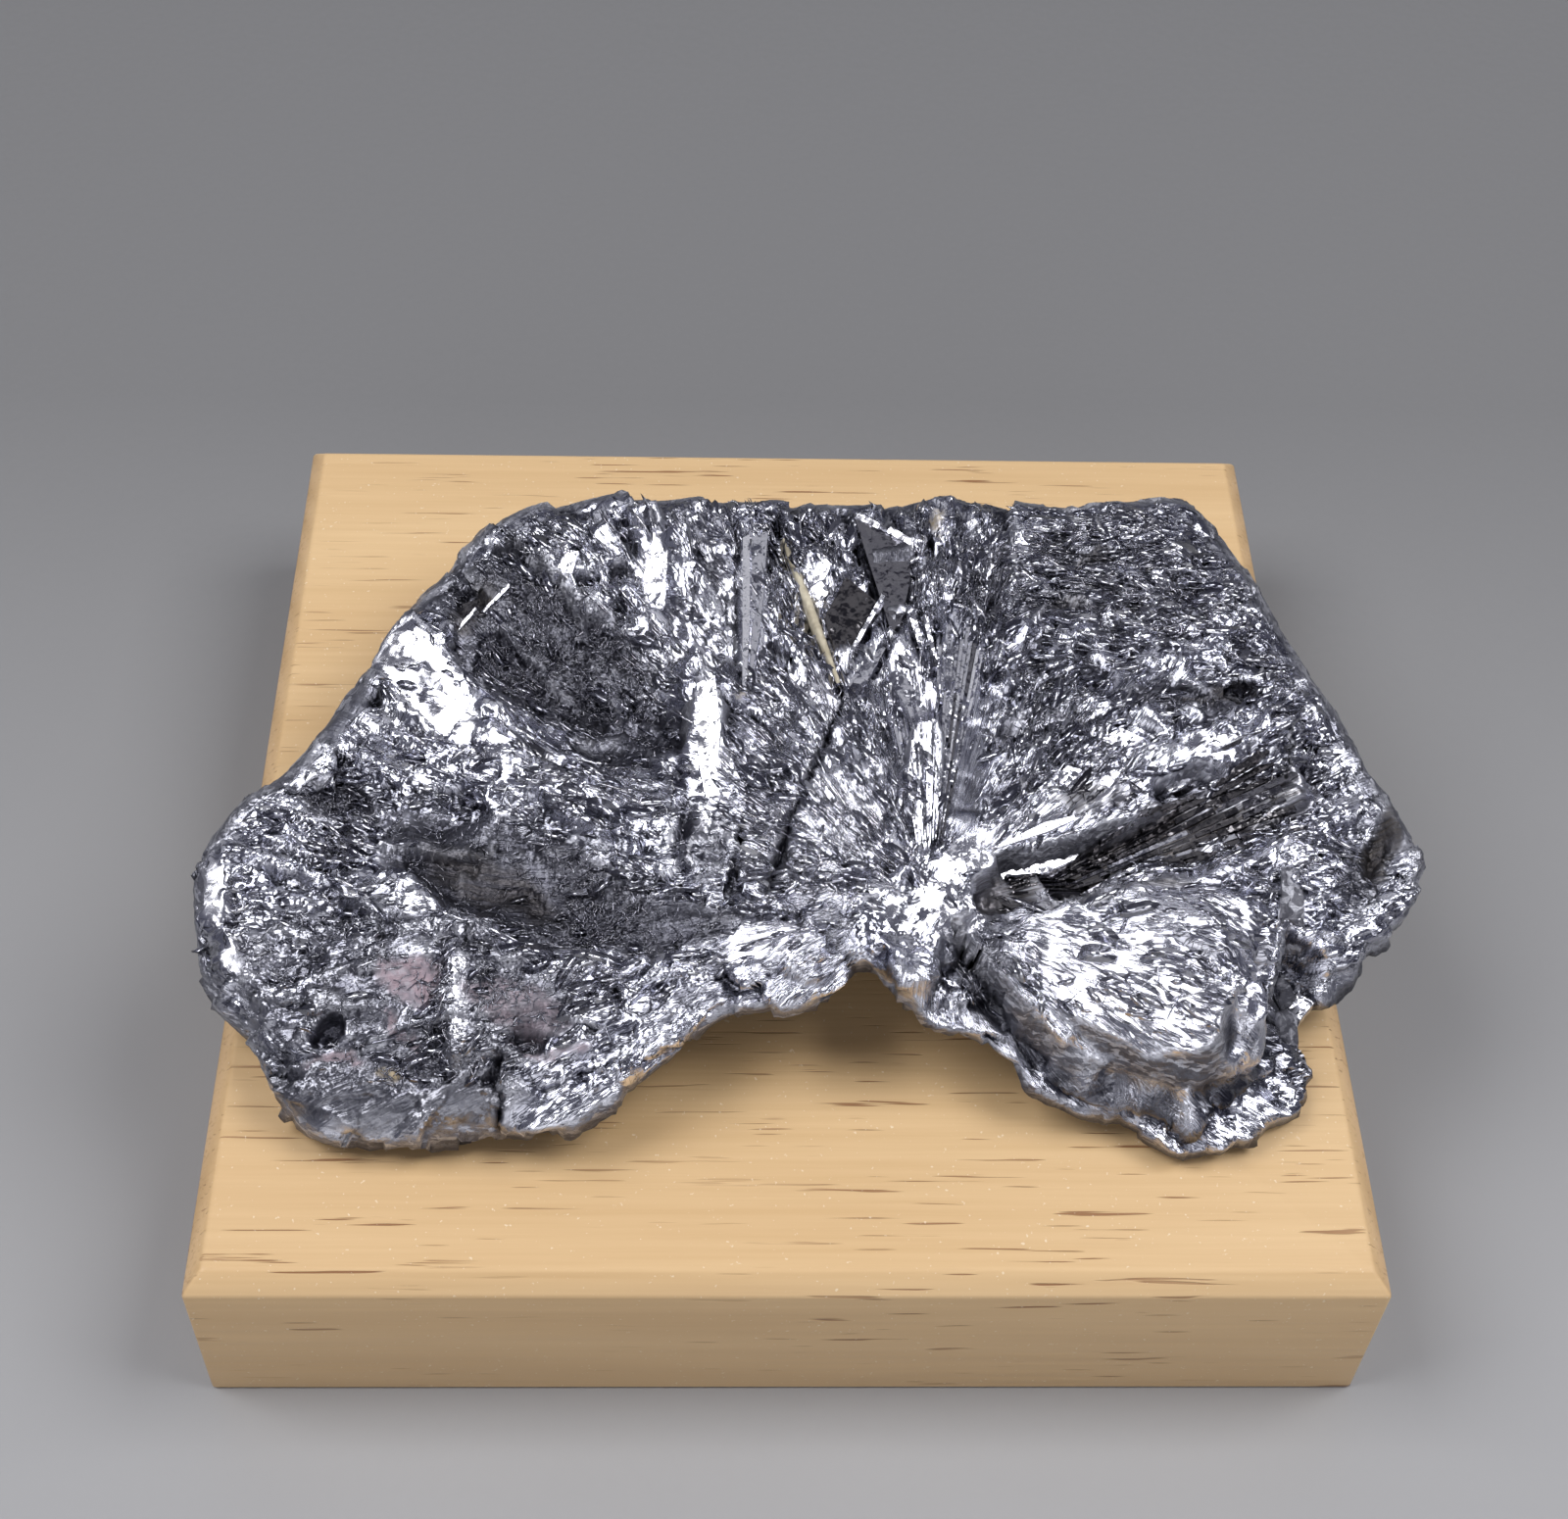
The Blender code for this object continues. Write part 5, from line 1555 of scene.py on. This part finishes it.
def quartz_material(look):
    """Milky cream quartz with darker veins and a chipped surface."""
    material, shader, here = new_material("cream_quartz")
    cloud = noise_of(here, 500.0, 5.0, 0.8)
    colour = mixed(ranged(cloud, 0.35, 0.68), look.quartz_shade, look.quartz)
    chipped = bumped(cells_of(here, 1800.0, "Distance"), 0.5, CHIP_DEPTH)
    feed(shader, {"Base Color": colour, "Roughness": ranged(cloud, 0.3, 0.7, 0.30, 0.55), "Normal": chipped})
    return material


def end_grain(look, here):
    """The tone of the block's ends: rings and dark pores."""
    centred = stretched(here, (1.0, 1.0, 1.0), RING_CENTRE)
    inputs = {"Vector": centred, "Scale": 120.0, "Distortion": 1.5}
    rings = made_by(here.tree, "ShaderNodeTexWave", inputs, "Fac", wave_type="RINGS", rings_direction="X")
    tone = mixed(rings, look.pine_end_dark, look.pine_end_light)
    return mixed(ranged(noise_of(here, 2200.0), 0.55, 0.7, 0.0, 0.6), tone, look.pine_pore)


def pine_material(look):
    """Planed pine, grain along X: soft growth bands, short brown pores, pale specks and darker end grain."""
    material, shader, here = new_material("pine")
    band = noise_of(stretched(here, (5.0, 60.0, 110.0)), 1.0, 3.0, 0.6)
    thread = noise_of(stretched(here, (40.0, 1500.0, 1500.0)), 1.0, 3.0)
    dash = noise_of(stretched(here, (110.0, 2900.0, 1500.0)), 1.0, 1.0)
    pore = ranged(dash, 0.675, 0.73) * ranged(noise_of(here, 38.0), 0.40, 0.58, 0.2, 1.0)
    across, _, _ = axes_of(face_normal(here.tree))
    colour = painted(
        mixed(ranged(band * 0.65 + thread * 0.35, 0.34, 0.66), look.pine_dark, look.pine_light),
        (pore, look.pine_pore),
        (ranged(noise_of(here, 2600.0, 1.0), 0.72, 0.78, 0.0, 0.6), look.pine_speck),
        (ranged(worked_out("ABSOLUTE", across, 0.0), 0.5, 0.9), end_grain(look, here)),
    )
    relief = bumped(thread * 0.3 - pore, 0.5, GRAIN_DEPTH)
    feed(shader, {"Base Color": colour, "Roughness": ranged(thread, 0.3, 0.7, 0.42, 0.58), "Normal": relief})
    return material


def floor_material(look):
    """Plain pale grey board, very slightly mottled, and darker towards the back as painted shade of the
    light's falloff.
    """
    material, shader, here = new_material("grey_floor")
    paper = noise_of(here, 700.0)
    tone = noise_of(here, 9.0, 3.0) * 0.8 + paper * 0.2
    darker, far = ([share * part for part in look.floor_colour] for share in (FLOOR_MOTTLE, FLOOR_FALLOFF_SHADE))
    _, depth, _ = axes_of(here)
    board = mixed(ranged(tone, 0.3, 0.7), darker, look.floor_colour)
    # Painted shade: the board darkens towards the back as the lamps' light falls off.
    colour = mixed(ranged(depth, *FLOOR_FADE), board, far)
    feed(shader, {"Base Color": colour, "Roughness": ranged(paper, 0.3, 0.7, 0.55, 0.7)})
    return material


def block_mesh(look):
    """The block as section loops of a rounded square: (inset, height) rows from its foot to its top face."""
    low, high = np.array(BLOCK_LOW), np.array(BLOCK_HIGH)
    half = 0.5 * (high - low)[:2]
    centre = 0.5 * (high + low)[:2]
    tall = high[2] - low[2]
    chamfer, soft = look.chamfer, look.edge_round
    rows = (
        (soft, 0.0), (0.3 * soft, 0.3 * soft), (0.0, soft),
        (0.0, tall - chamfer - soft), (0.12 * soft, tall - chamfer - 0.3 * soft),
        (0.5 * soft, tall - chamfer + 0.35 * soft),
        (chamfer - 0.35 * soft, tall - 0.5 * soft), (chamfer + 0.3 * soft, tall - 0.12 * soft),
        (chamfer + soft, tall),
    )
    quarter = np.arange(4)[:, None] * 0.5 * math.pi
    angle = (np.linspace(0.0, 0.5 * math.pi, CORNER_POINTS) + quarter).ravel()
    arc = np.column_stack((np.cos(angle), np.sin(angle)))
    sign = np.repeat(((1, 1), (-1, 1), (-1, -1), (1, -1)), CORNER_POINTS, axis=0)
    loops = []
    for inset, height in rows:
        corner = half - inset - soft
        outline = centre + sign * corner + arc * soft
        loops.append(np.column_stack((outline, np.full(len(arc), low[2] + height))))
    around = len(arc)
    places = np.vstack(loops)
    quads = loop_quads(len(rows), around)[:, [0, 3, 2, 1]]
    made = mesh_from_arrays("pine_block", places, quads, NO_TRIANGLES)
    shell = bmesh.new()
    shell.from_mesh(made.data)
    shell.verts.ensure_lookup_table()
    shell.faces.new([shell.verts[index] for index in range(around)][::-1])
    shell.faces.new([shell.verts[(len(rows) - 1) * around + index] for index in range(around)])
    bmesh.ops.recalc_face_normals(shell, faces=shell.faces[:])
    shell.to_mesh(made.data)
    shell.free()
    made.data.shade_smooth()
    made.data.set_sharp_from_angle(angle=math.radians(40.0))
    return made


def sliver_mesh():
    """The quartz sliver: a long wedge with chipped sides, as section loops from its back end to its front.

    Share t runs from -1 to 1 along it. Its half width is that of the solid, 1 - 0.55 t squared of the
    full width, narrower at the keel, and noise chips its top and sides.
    """
    start = np.array(SLIVER_BACK)
    run = np.array(SLIVER_FRONT) - start
    length = math.hypot(*run)
    ahead = run / length
    aside = np.array((-ahead[1], ahead[0]))
    share = np.linspace(-0.995, 0.995, 90)
    corner = np.array(((-1.0, 0.0), (-0.5, 1.0), (0.5, 1.0), (1.0, 0.0), (0.55, -1.0), (-0.55, -1.0)))
    half = 0.5 * SLIVER_WIDTH * (1.0 - 0.55 * share ** 2)
    middle = start + np.outer(0.5 * (share + 1.0), run)
    wide = half[:, None] * corner[None, :, 0]
    rise = np.where(corner[:, 1] > 0.5, 0.0, np.where(corner[:, 1] < -0.5, -SLIVER_DEPTH, -0.35))
    plan = middle[:, None, :] + wide[:, :, None] * aside
    loops = np.dstack((plan, np.broadcast_to(SLIVER_TOP + rise, wide.shape)))
    rows, around = loops.shape[:2]
    chipped = loops.reshape(-1, 3)
    centre = np.repeat(np.column_stack((middle, np.full(rows, SLIVER_TOP - 1.2))), around, axis=0)
    shrink = 0.10 * (1.0 + lattice_noise(chipped, 0.7, 5)) + 0.05 * (1.0 + lattice_noise(chipped, 0.3, 6))
    chipped = chipped + (centre - chipped) * shrink[:, None] * np.array((0.8, 0.8, 0.35))
    ends = np.array((np.append(start, SLIVER_TOP - 1.5), np.append(start + run, SLIVER_TOP - 1.5)))
    quads, fans = loop_faces(rows, around)
    made = mesh_from_arrays("cream_sliver", to_metres(np.vstack((chipped, ends))), quads, fans)
    face_outward(made)
    return made


def fanned_plates(first, last, lanes, near, far, lift, most_roll, finishes_and_light, seed):
    """Long narrow plates side by side in lanes fanned round the focus, each with its slopes and finish, which
    can carry painted highlight or a painted brown reflection.

    The lanes share the bearings from first to last, in degrees, and run from near to far. A plate
    climbs as the sheet does along its length, and is rolled about that length by its own angle.
    """
    rng = np.random.default_rng(seed)
    step = (last - first) / lanes
    outlines = []
    for lane in range(lanes):
        end = far - rng.uniform(0.0, LANE_STAGGER)
        while end > near + LANE_LEAST:
            start = max(end - rng.uniform(*LANE_PLATE), near)
            sides = np.radians((first + step * lane, first + step * (lane + LANE_FILLED)))
            reach = np.array((end, end, start, start))
            turn = sides[[0, 1, 1, 0]]
            outlines.append(np.column_stack((reach * np.cos(turn), reach * np.sin(turn))) + FOCUS)
            end = start - rng.uniform(0.0, LANE_GAP)
    ends = np.array(outlines)
    outer, inner = 0.5 * (ends[:, 0] + ends[:, 1]), 0.5 * (ends[:, 2] + ends[:, 3])
    high, _ = sheet_heights(outer)
    low, _ = sheet_heights(inner)
    middle, _ = sheet_heights(0.5 * (outer + inner))
    length = np.linalg.norm(outer - inner, axis=1)
    along = (outer - inner) / length[:, None]
    across = np.column_stack((-along[:, 1], along[:, 0]))
    roll = rng.uniform(-most_roll, most_roll, len(ends))
    slopes = along * ((high - low) / length)[:, None] + across * roll[:, None]
    raised = lift + 0.5 * (0.5 * (high + low) - middle)
    finish_and_light = rng.choice(tuple(finishes_and_light), len(ends), p=tuple(finishes_and_light.values()))
    return tuple(zip(outlines, slopes, raised, finish_and_light))


def crystal_plates():
    """All flat crystal plates in one mesh: each a slab with a bevelled top edge, on its own sloping plane.

    A plate's rings are its outline at the keel, its outline just below the top and its outline drawn
    in by the bevel, all at the plane's height at their own place.
    """
    plates = CRYSTAL_PLATES + fanned_plates(*BUNDLE) + fanned_plates(*TROUGH) + fanned_plates(*WHITE_FAN)
    centres = np.array([np.mean(plate[0], axis=0) for plate in plates])
    levels, _ = sheet_heights(centres)
    shell = bmesh.new()
    tone = shell.verts.layers.float_color.new("leaf tone")
    for centre, level, (corners, slopes, lift, finish_and_light) in zip(centres, levels, plates):
        outline = np.array(corners)
        inset = PLATE_BEVEL / np.linalg.norm(outline - centre, axis=1)
        drawn_in = outline + (centre - outline) * inset[:, None]
        rings = []
        for ring, drop in ((outline, PLATE_THICKNESS), (outline, PLATE_BEVEL), (drawn_in, 0.0)):
            height = level + lift - drop + (ring - centre) @ np.array(slopes)
            placed = to_metres(np.column_stack((ring, height)))
            rings.append([shell.verts.new(place) for place in placed])
        for below, above in zip(rings, rings[1:]):
            for corner in range(len(outline)):
                onward = (corner + 1) % len(outline)
                shell.faces.new((below[corner], below[onward], above[onward], above[corner]))
        shell.faces.new(rings[-1])
        shell.faces.new(rings[0][::-1])
        for vert in rings[0] + rings[1] + rings[2]:
            vert[tone] = PLATE_TONES[finish_and_light]
    bmesh.ops.recalc_face_normals(shell, faces=shell.faces[:])
    mesh = bpy.data.meshes.new("crystal_plates")
    shell.to_mesh(mesh)
    shell.free()
    return add_object("crystal_plates", mesh)


def face_outward(made):
    """Turn a closed mesh's faces outwards."""
    shell = bmesh.new()
    shell.from_mesh(made.data)
    bmesh.ops.recalc_face_normals(shell, faces=shell.faces[:])
    shell.to_mesh(made.data)
    shell.free()


def colour_setting(name, description, default):
    """A colour that can be changed in the panel."""
    return FloatVectorProperty(name=name, description=description, subtype="COLOR", default=default)


class SpecimenLook(bpy.types.PropertyGroup):
    """Sizes and colours of the specimen, its block and the stage."""

    metal: colour_setting("Metal", "Lightest grey of the foil", (0.90, 0.91, 1.0))
    dark_metal: colour_setting("Dark metal", "Darkest grey of the foil", (0.34, 0.345, 0.42))
    # Painted highlight: the metal laid on the bright zones and the highlit plates.
    highlight_metal: colour_setting("Fresh metal", "Fresh bright leaves", (0.88, 0.88, 0.95))
    leaf_metal: colour_setting("Leaf metal", "Lightest loose leaves", (0.92, 0.92, 0.96))
    # Dark felt, partly painted shade of the hollows.
    felt_and_shade: colour_setting("Felt", "Dark fibrous hollows", (0.040, 0.040, 0.052))
    felt_leaf: colour_setting("Felt fibres", "Fibres of the hollows", (0.27, 0.27, 0.32))
    # Painted reflection: the brown of the wood, laid on the smooth dark plates.
    wood_reflection_brown: colour_setting("Brown plates", "Smooth dark brownish plates", (0.070, 0.062, 0.058))
    # Dark colour of the side walls, the underside and the band along the back rim.
    rim_metal: colour_setting("Rim", "Worn side of the mass", (0.072, 0.072, 0.090))
    pink_stain: colour_setting("Pink stain", "Pinkish patches", (0.40, 0.31, 0.35))
    ochre_stain: colour_setting("Ochre stain", "Ochre specks", (0.42, 0.34, 0.22))
    foil_tilt: FloatProperty(
        name="Foil tilt", description="How far the smallest facets lean", default=0.55, min=0.0, max=2.0
    )
    gap_shade: colour_setting("Gaps", "Dark gaps between leaves", (0.035, 0.035, 0.045))
    leaf_tilt: FloatProperty(
        name="Leaf tilt", description="How far the foil on loose leaves leans", default=0.22, min=0.0, max=2.0
    )
    quartz: colour_setting("Quartz", "Cream quartz", (0.68, 0.62, 0.48))
    quartz_shade: colour_setting("Quartz veins", "Darker veins", (0.40, 0.35, 0.25))
    stations: IntProperty(name="Stations", description="Section loops of the fine skin", default=400, min=60)
    top_steps: IntProperty(name="Top steps", description="Points of a loop over the top", default=200, min=30)
    under_steps: IntProperty(name="Underside steps", description="Points of a loop below", default=46, min=10)
    leaf_count: IntProperty(name="Leaves", description="Small loose leaves", default=4200, min=0)
    broad_count: IntProperty(name="Broad leaves", description="Broad flat leaves", default=1600, min=0)
    fibre_count: IntProperty(name="Fibres", description="Curled fibres", default=7000, min=0)
    needle_count: IntProperty(name="Needles", description="Needles along the blades", default=2600, min=0)
    chamfer: FloatProperty(
        name="Chamfer", description="Chamfer round the block's top", default=0.0016, unit="LENGTH"
    )
    edge_round: FloatProperty(
        name="Edge rounding", description="Softness of the block's edges", default=0.00035, unit="LENGTH"
    )
    pine_light: colour_setting("Pine light", "Light growth bands", (0.735, 0.515, 0.28))
    pine_dark: colour_setting("Pine dark", "Dark growth bands", (0.635, 0.42, 0.21))
    pine_pore: colour_setting("Pores", "Short brown pores", (0.30, 0.145, 0.06))
    pine_speck: colour_setting("Specks", "Pale specks", (0.88, 0.76, 0.58))
    pine_end_light: colour_setting("End grain light", "End grain", (0.62, 0.42, 0.24))
    pine_end_dark: colour_setting("End grain dark", "End grain rings", (0.50, 0.32, 0.16))
    floor_colour: colour_setting("Floor", "Pale grey board", (0.36, 0.36, 0.37))
    lamp_power: FloatProperty(name="Lamp power", description="Each side lamp", default=3.6, unit="POWER")
    lamp_size: FloatProperty(name="Lamp size", description="Side of a lamp", default=0.42, unit="LENGTH")
    lens: FloatProperty(name="Lens", description="Focal length in millimetres", default=56.05)


class SPECIMEN_OT_mass(bpy.types.Operator):
    """Build the crumpled skin of the molybdenite mass, with its leaves, fibres and needles"""

    bl_idname = "specimen.mass"
    bl_label = "Molybdenite mass"

    def execute(self, context):
        look = context.scene.specimen_look
        normals, fine = mass_grid(look.stations, look.top_steps, look.under_steps)
        rows, around = fine.shape[:2]
        tips = np.array((tip_point(FRONT_EDGE[0]), tip_point(FRONT_EDGE[-1])))
        points = np.vstack((fine.reshape(-1, 3), tips))
        level = np.vstack((normals.reshape(-1, 3), np.zeros((2, 3))))
        quads, fans = loop_faces(rows, around)
        made = mesh_from_arrays("molybdenite_skin", to_metres(points), quads, fans)
        face_outward(made)
        made.data.shade_smooth()
        finish_and_light, tint = finish_and_painted_light(points, level)
        add_colours(made.data, "zone finish", finish_and_light)
        add_colours(made.data, "zone tint", tint)
        add_colours(made.data, "zone mood", skin_mood(fine))
        add_flow_map(made.data, points[:, :2])
        made.data.materials.append(mass_material(look))
        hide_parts("molybdenite_mass")
        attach(made, "root")
        material = leaf_material(look)
        for kind in LEAF_KINDS:
            scatter(look, fine, normals, material, **kind)
        return {"FINISHED"}


class SPECIMEN_OT_plates(bpy.types.Operator):
    """Set the flat crystal plates with straight edges into the skin"""

    bl_idname = "specimen.plates"
    bl_label = "Crystal plates"

    def execute(self, context):
        made = crystal_plates()
        made.data.materials.append(leaf_material(context.scene.specimen_look))
        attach(made, "root")
        return {"FINISHED"}


class SPECIMEN_OT_sliver(bpy.types.Operator):
    """Build the chipped sliver of cream quartz"""

    bl_idname = "specimen.sliver"
    bl_label = "Quartz sliver"

    def execute(self, context):
        made = sliver_mesh()
        made.data.materials.append(quartz_material(context.scene.specimen_look))
        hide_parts("quartz_sliver")
        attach(made, "root")
        return {"FINISHED"}


class SPECIMEN_OT_block(bpy.types.Operator):
    """Build the chamfered pine block with softened edges"""

    bl_idname = "specimen.block"
    bl_label = "Pine block"

    def execute(self, context):
        look = context.scene.specimen_look
        made = block_mesh(look)
        made.data.materials.append(pine_material(look))
        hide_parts("wood_block")
        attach(made, "root")
        return {"FINISHED"}


class SPECIMEN_OT_stage(bpy.types.Operator):
    """Set the floor, the lamps, the world and the camera"""

    bl_idname = "specimen.stage"
    bl_label = "Stage"

    def execute(self, context):
        look = context.scene.specimen_look
        add_floor(look)
        add_lamps(look)
        add_world(context.scene)
        add_camera(context.scene, look)
        context.scene.view_settings.view_transform = "Standard"
        return {"FINISHED"}


class SPECIMEN_PT_panel(bpy.types.Panel):
    """Buttons for each piece and the settings they read"""

    bl_label = "Molybdenite specimen"
    bl_idname = "SPECIMEN_PT_panel"
    bl_space_type = "VIEW_3D"
    bl_region_type = "UI"
    bl_category = "Specimen"

    def draw(self, context):
        for piece in PIECES:
            self.layout.operator(piece.bl_idname)
        for name in SpecimenLook.__annotations__:
            self.layout.prop(context.scene.specimen_look, name)


PIECES = (SPECIMEN_OT_mass, SPECIMEN_OT_plates, SPECIMEN_OT_sliver, SPECIMEN_OT_block, SPECIMEN_OT_stage)
CLASSES = (SpecimenLook, *PIECES, SPECIMEN_PT_panel)


def scatter(look, fine, normals, material, name, counted_by, seed, rings, felt_share, smooth_share, in_fan,
            spread, lengths, widths, by_length, leans, bows, lifts):
    """One kind of leaf over the skin, each leaf with its own heading, size, lean and bend."""
    rng = np.random.default_rng(seed)
    weight = leaf_weight(fine, normals, felt_share, smooth_share)
    if in_fan:
        radius, bearing, _ = from_focus(fine.reshape(-1, 3)[:, :2])
        fan = fan_share(bearing) * ease((radius - 3.0) / 5.0)
        weight = weight * (0.05 + fan).reshape(weight.shape)
    places, up = pick_spots(fine, normals, weight, getattr(look, counted_by), rng)
    count = len(places)
    turn = rng.normal(0.0, spread, count) if spread else rng.uniform(-math.pi, math.pi, count)
    heading = flow_heading(places, turn)
    length = kept_inside(places, rng.uniform(*lengths, count))
    width = (length if by_length else 1.0) * rng.uniform(*widths, count)
    lean = tuple(rng.normal(0.0, each, count) for each in leans)
    bend = tuple(share * length * rng.normal(middle, each, count) for share, middle, each in bows)
    lift = lifts[0] + lifts[1] * length
    leaves = strips(places, faced_up(places, up), heading, length, width, lean, bend, lift, rings)
    add_leaf_piece(name, leaves, places, up, rng, rings, material)


def leaf_weight(fine, normals, felt_share, smooth_share):
    """How thickly leaves lie on each point of the skin: none below, few on calm plates and the rim."""
    plan = fine.reshape(-1, 3)[:, :2]
    up = normals.reshape(-1, 3)[:, 2]
    felt = zone_mask(plan, FELT_ZONES)
    calm = np.maximum(zone_mask(plan, CALM_ZONES), 0.9 * zone_mask(plan, BROWN_ZONES))
    calm = np.maximum(calm, 0.7 * zone_mask(plan, BRIGHT_ZONES))
    weight = ease((up - 0.5) / 0.4) * (1.0 + (felt_share - 1.0) * felt) * (1.0 + (smooth_share - 1.0) * calm)
    weight = weight * ease((from_edge(plan, 50) - LEAF_CLEAR_EDGE) / 2.0)
    weight = weight * (1.0 - crack_mask(plan)) * (1.0 - on_plates(plan))
    weight = weight * (1.0 - 0.75 * quiet_noise(fine.reshape(-1, 3)))
    return weight.reshape(fine.shape[:2])


def kept_inside(places, length):
    """Leaf lengths cut down near the outline, so that no leaf stands out over the rim."""
    return np.minimum(length, 0.6 * from_edge(places[:, :2], 50))


def flow_heading(places, turn):
    """Level directions away from the focus, turned by the given angles."""
    _, bearing, _ = from_focus(places[:, :2])
    beyond = ease((places[:, :2] - EAST_GRAIN) / 3.0).prod(axis=1)
    angle = bearing * (1.0 - beyond) + turn
    return np.column_stack((np.cos(angle), np.sin(angle), np.zeros(len(places))))


def add_leaf_piece(name, leaves, places, up, rng, rings, material):
    """Join the leaves in one mesh that rides on the mass, toned by the finish and painted light below each.
    """
    finish_and_light, _ = finish_and_painted_light(places, up)
    tones = (rng.random(len(places)) ** 1.5, finish_and_light[0], finish_and_light[1], finish_and_light[2])
    made = leaf_piece(name, leaves, tones, rings, material)
    face_outward(made)
    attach(made, "root")


def add_floor(look):
    """A level board under the block: a flat grid of quads."""
    side = np.linspace(-FLOOR_REACH, FLOOR_REACH, 9)
    east, north = np.meshgrid(side, side, indexing="ij")
    places = np.column_stack((east.ravel(), north.ravel(), np.full(east.size, BLOCK_LOW.z)))
    index = np.arange(east.size).reshape(east.shape)
    corners = (index[:-1, :-1], index[1:, :-1], index[1:, 1:], index[:-1, 1:])
    made = mesh_from_arrays("stage_floor", places, np.stack(corners, -1).reshape(-1, 4), NO_TRIANGLES)
    made.data.materials.append(floor_material(look))


def add_lamp(name, place, size, power):
    """A rectangular area lamp aimed at the specimen."""
    lamp = bpy.data.lights.new(name, "AREA")
    lamp.energy = power
    lamp.shape = "RECTANGLE"
    lamp.size, lamp.size_y = size
    made = add_object(name, lamp)
    made.location = place
    made.rotation_euler = (Vector(AIM) - Vector(place)).to_track_quat("-Z", "Y").to_euler()


def add_lamps(look):
    """A soft lamp high on each side, and a wide dim panel behind and in front."""
    side = (look.lamp_size, look.lamp_size)
    add_lamp("left lamp", LEFT_LAMP, side, look.lamp_power)
    add_lamp("right lamp", RIGHT_LAMP, side, look.lamp_power)
    add_lamp("back panel", BACK_PANEL, BACK_PANEL_SIZE, BACK_PANEL_POWER)
    add_lamp("front panel", FRONT_PANEL, FRONT_PANEL_SIZE, FRONT_PANEL_POWER)


def add_world(scene):
    """A dim even grey all round."""
    world = bpy.data.worlds.new("soft grey")
    world.use_nodes = True
    background = world.node_tree.nodes["Background"]
    background.inputs["Color"].default_value = WORLD_COLOUR
    background.inputs["Strength"].default_value = WORLD_STRENGTH
    scene.world = world


def add_camera(scene, look):
    """The camera in front of the specimen and above it, rolled very slightly."""
    camera = bpy.data.cameras.new("camera")
    camera.lens = look.lens
    camera.sensor_width = 36.0
    camera.sensor_fit = "HORIZONTAL"
    camera.clip_start = 0.01
    camera.dof.use_dof = False
    made = add_object("camera", camera)
    aimed = (Vector(AIM) - Vector(CAMERA_PLACE)).to_track_quat("-Z", "Y").to_matrix()
    rolled = aimed @ Matrix.Rotation(math.radians(CAMERA_ROLL), 3, "Z")
    made.matrix_world = Matrix.Translation(CAMERA_PLACE) @ rolled.to_4x4()
    scene.camera = made


def register():
    """Make the classes and the settings known."""
    for item in CLASSES:
        bpy.utils.register_class(item)
    bpy.types.Scene.specimen_look = PointerProperty(type=SpecimenLook)


def unregister():
    """Undo register()."""
    del bpy.types.Scene.specimen_look
    for item in reversed(CLASSES):
        bpy.utils.unregister_class(item)


def main():
    """Make the classes known and build every piece."""
    register()
    bpy.ops.specimen.mass()
    bpy.ops.specimen.plates()
    bpy.ops.specimen.sliver()
    bpy.ops.specimen.block()
    bpy.ops.specimen.stage()


if __name__ == "__main__":
    main()
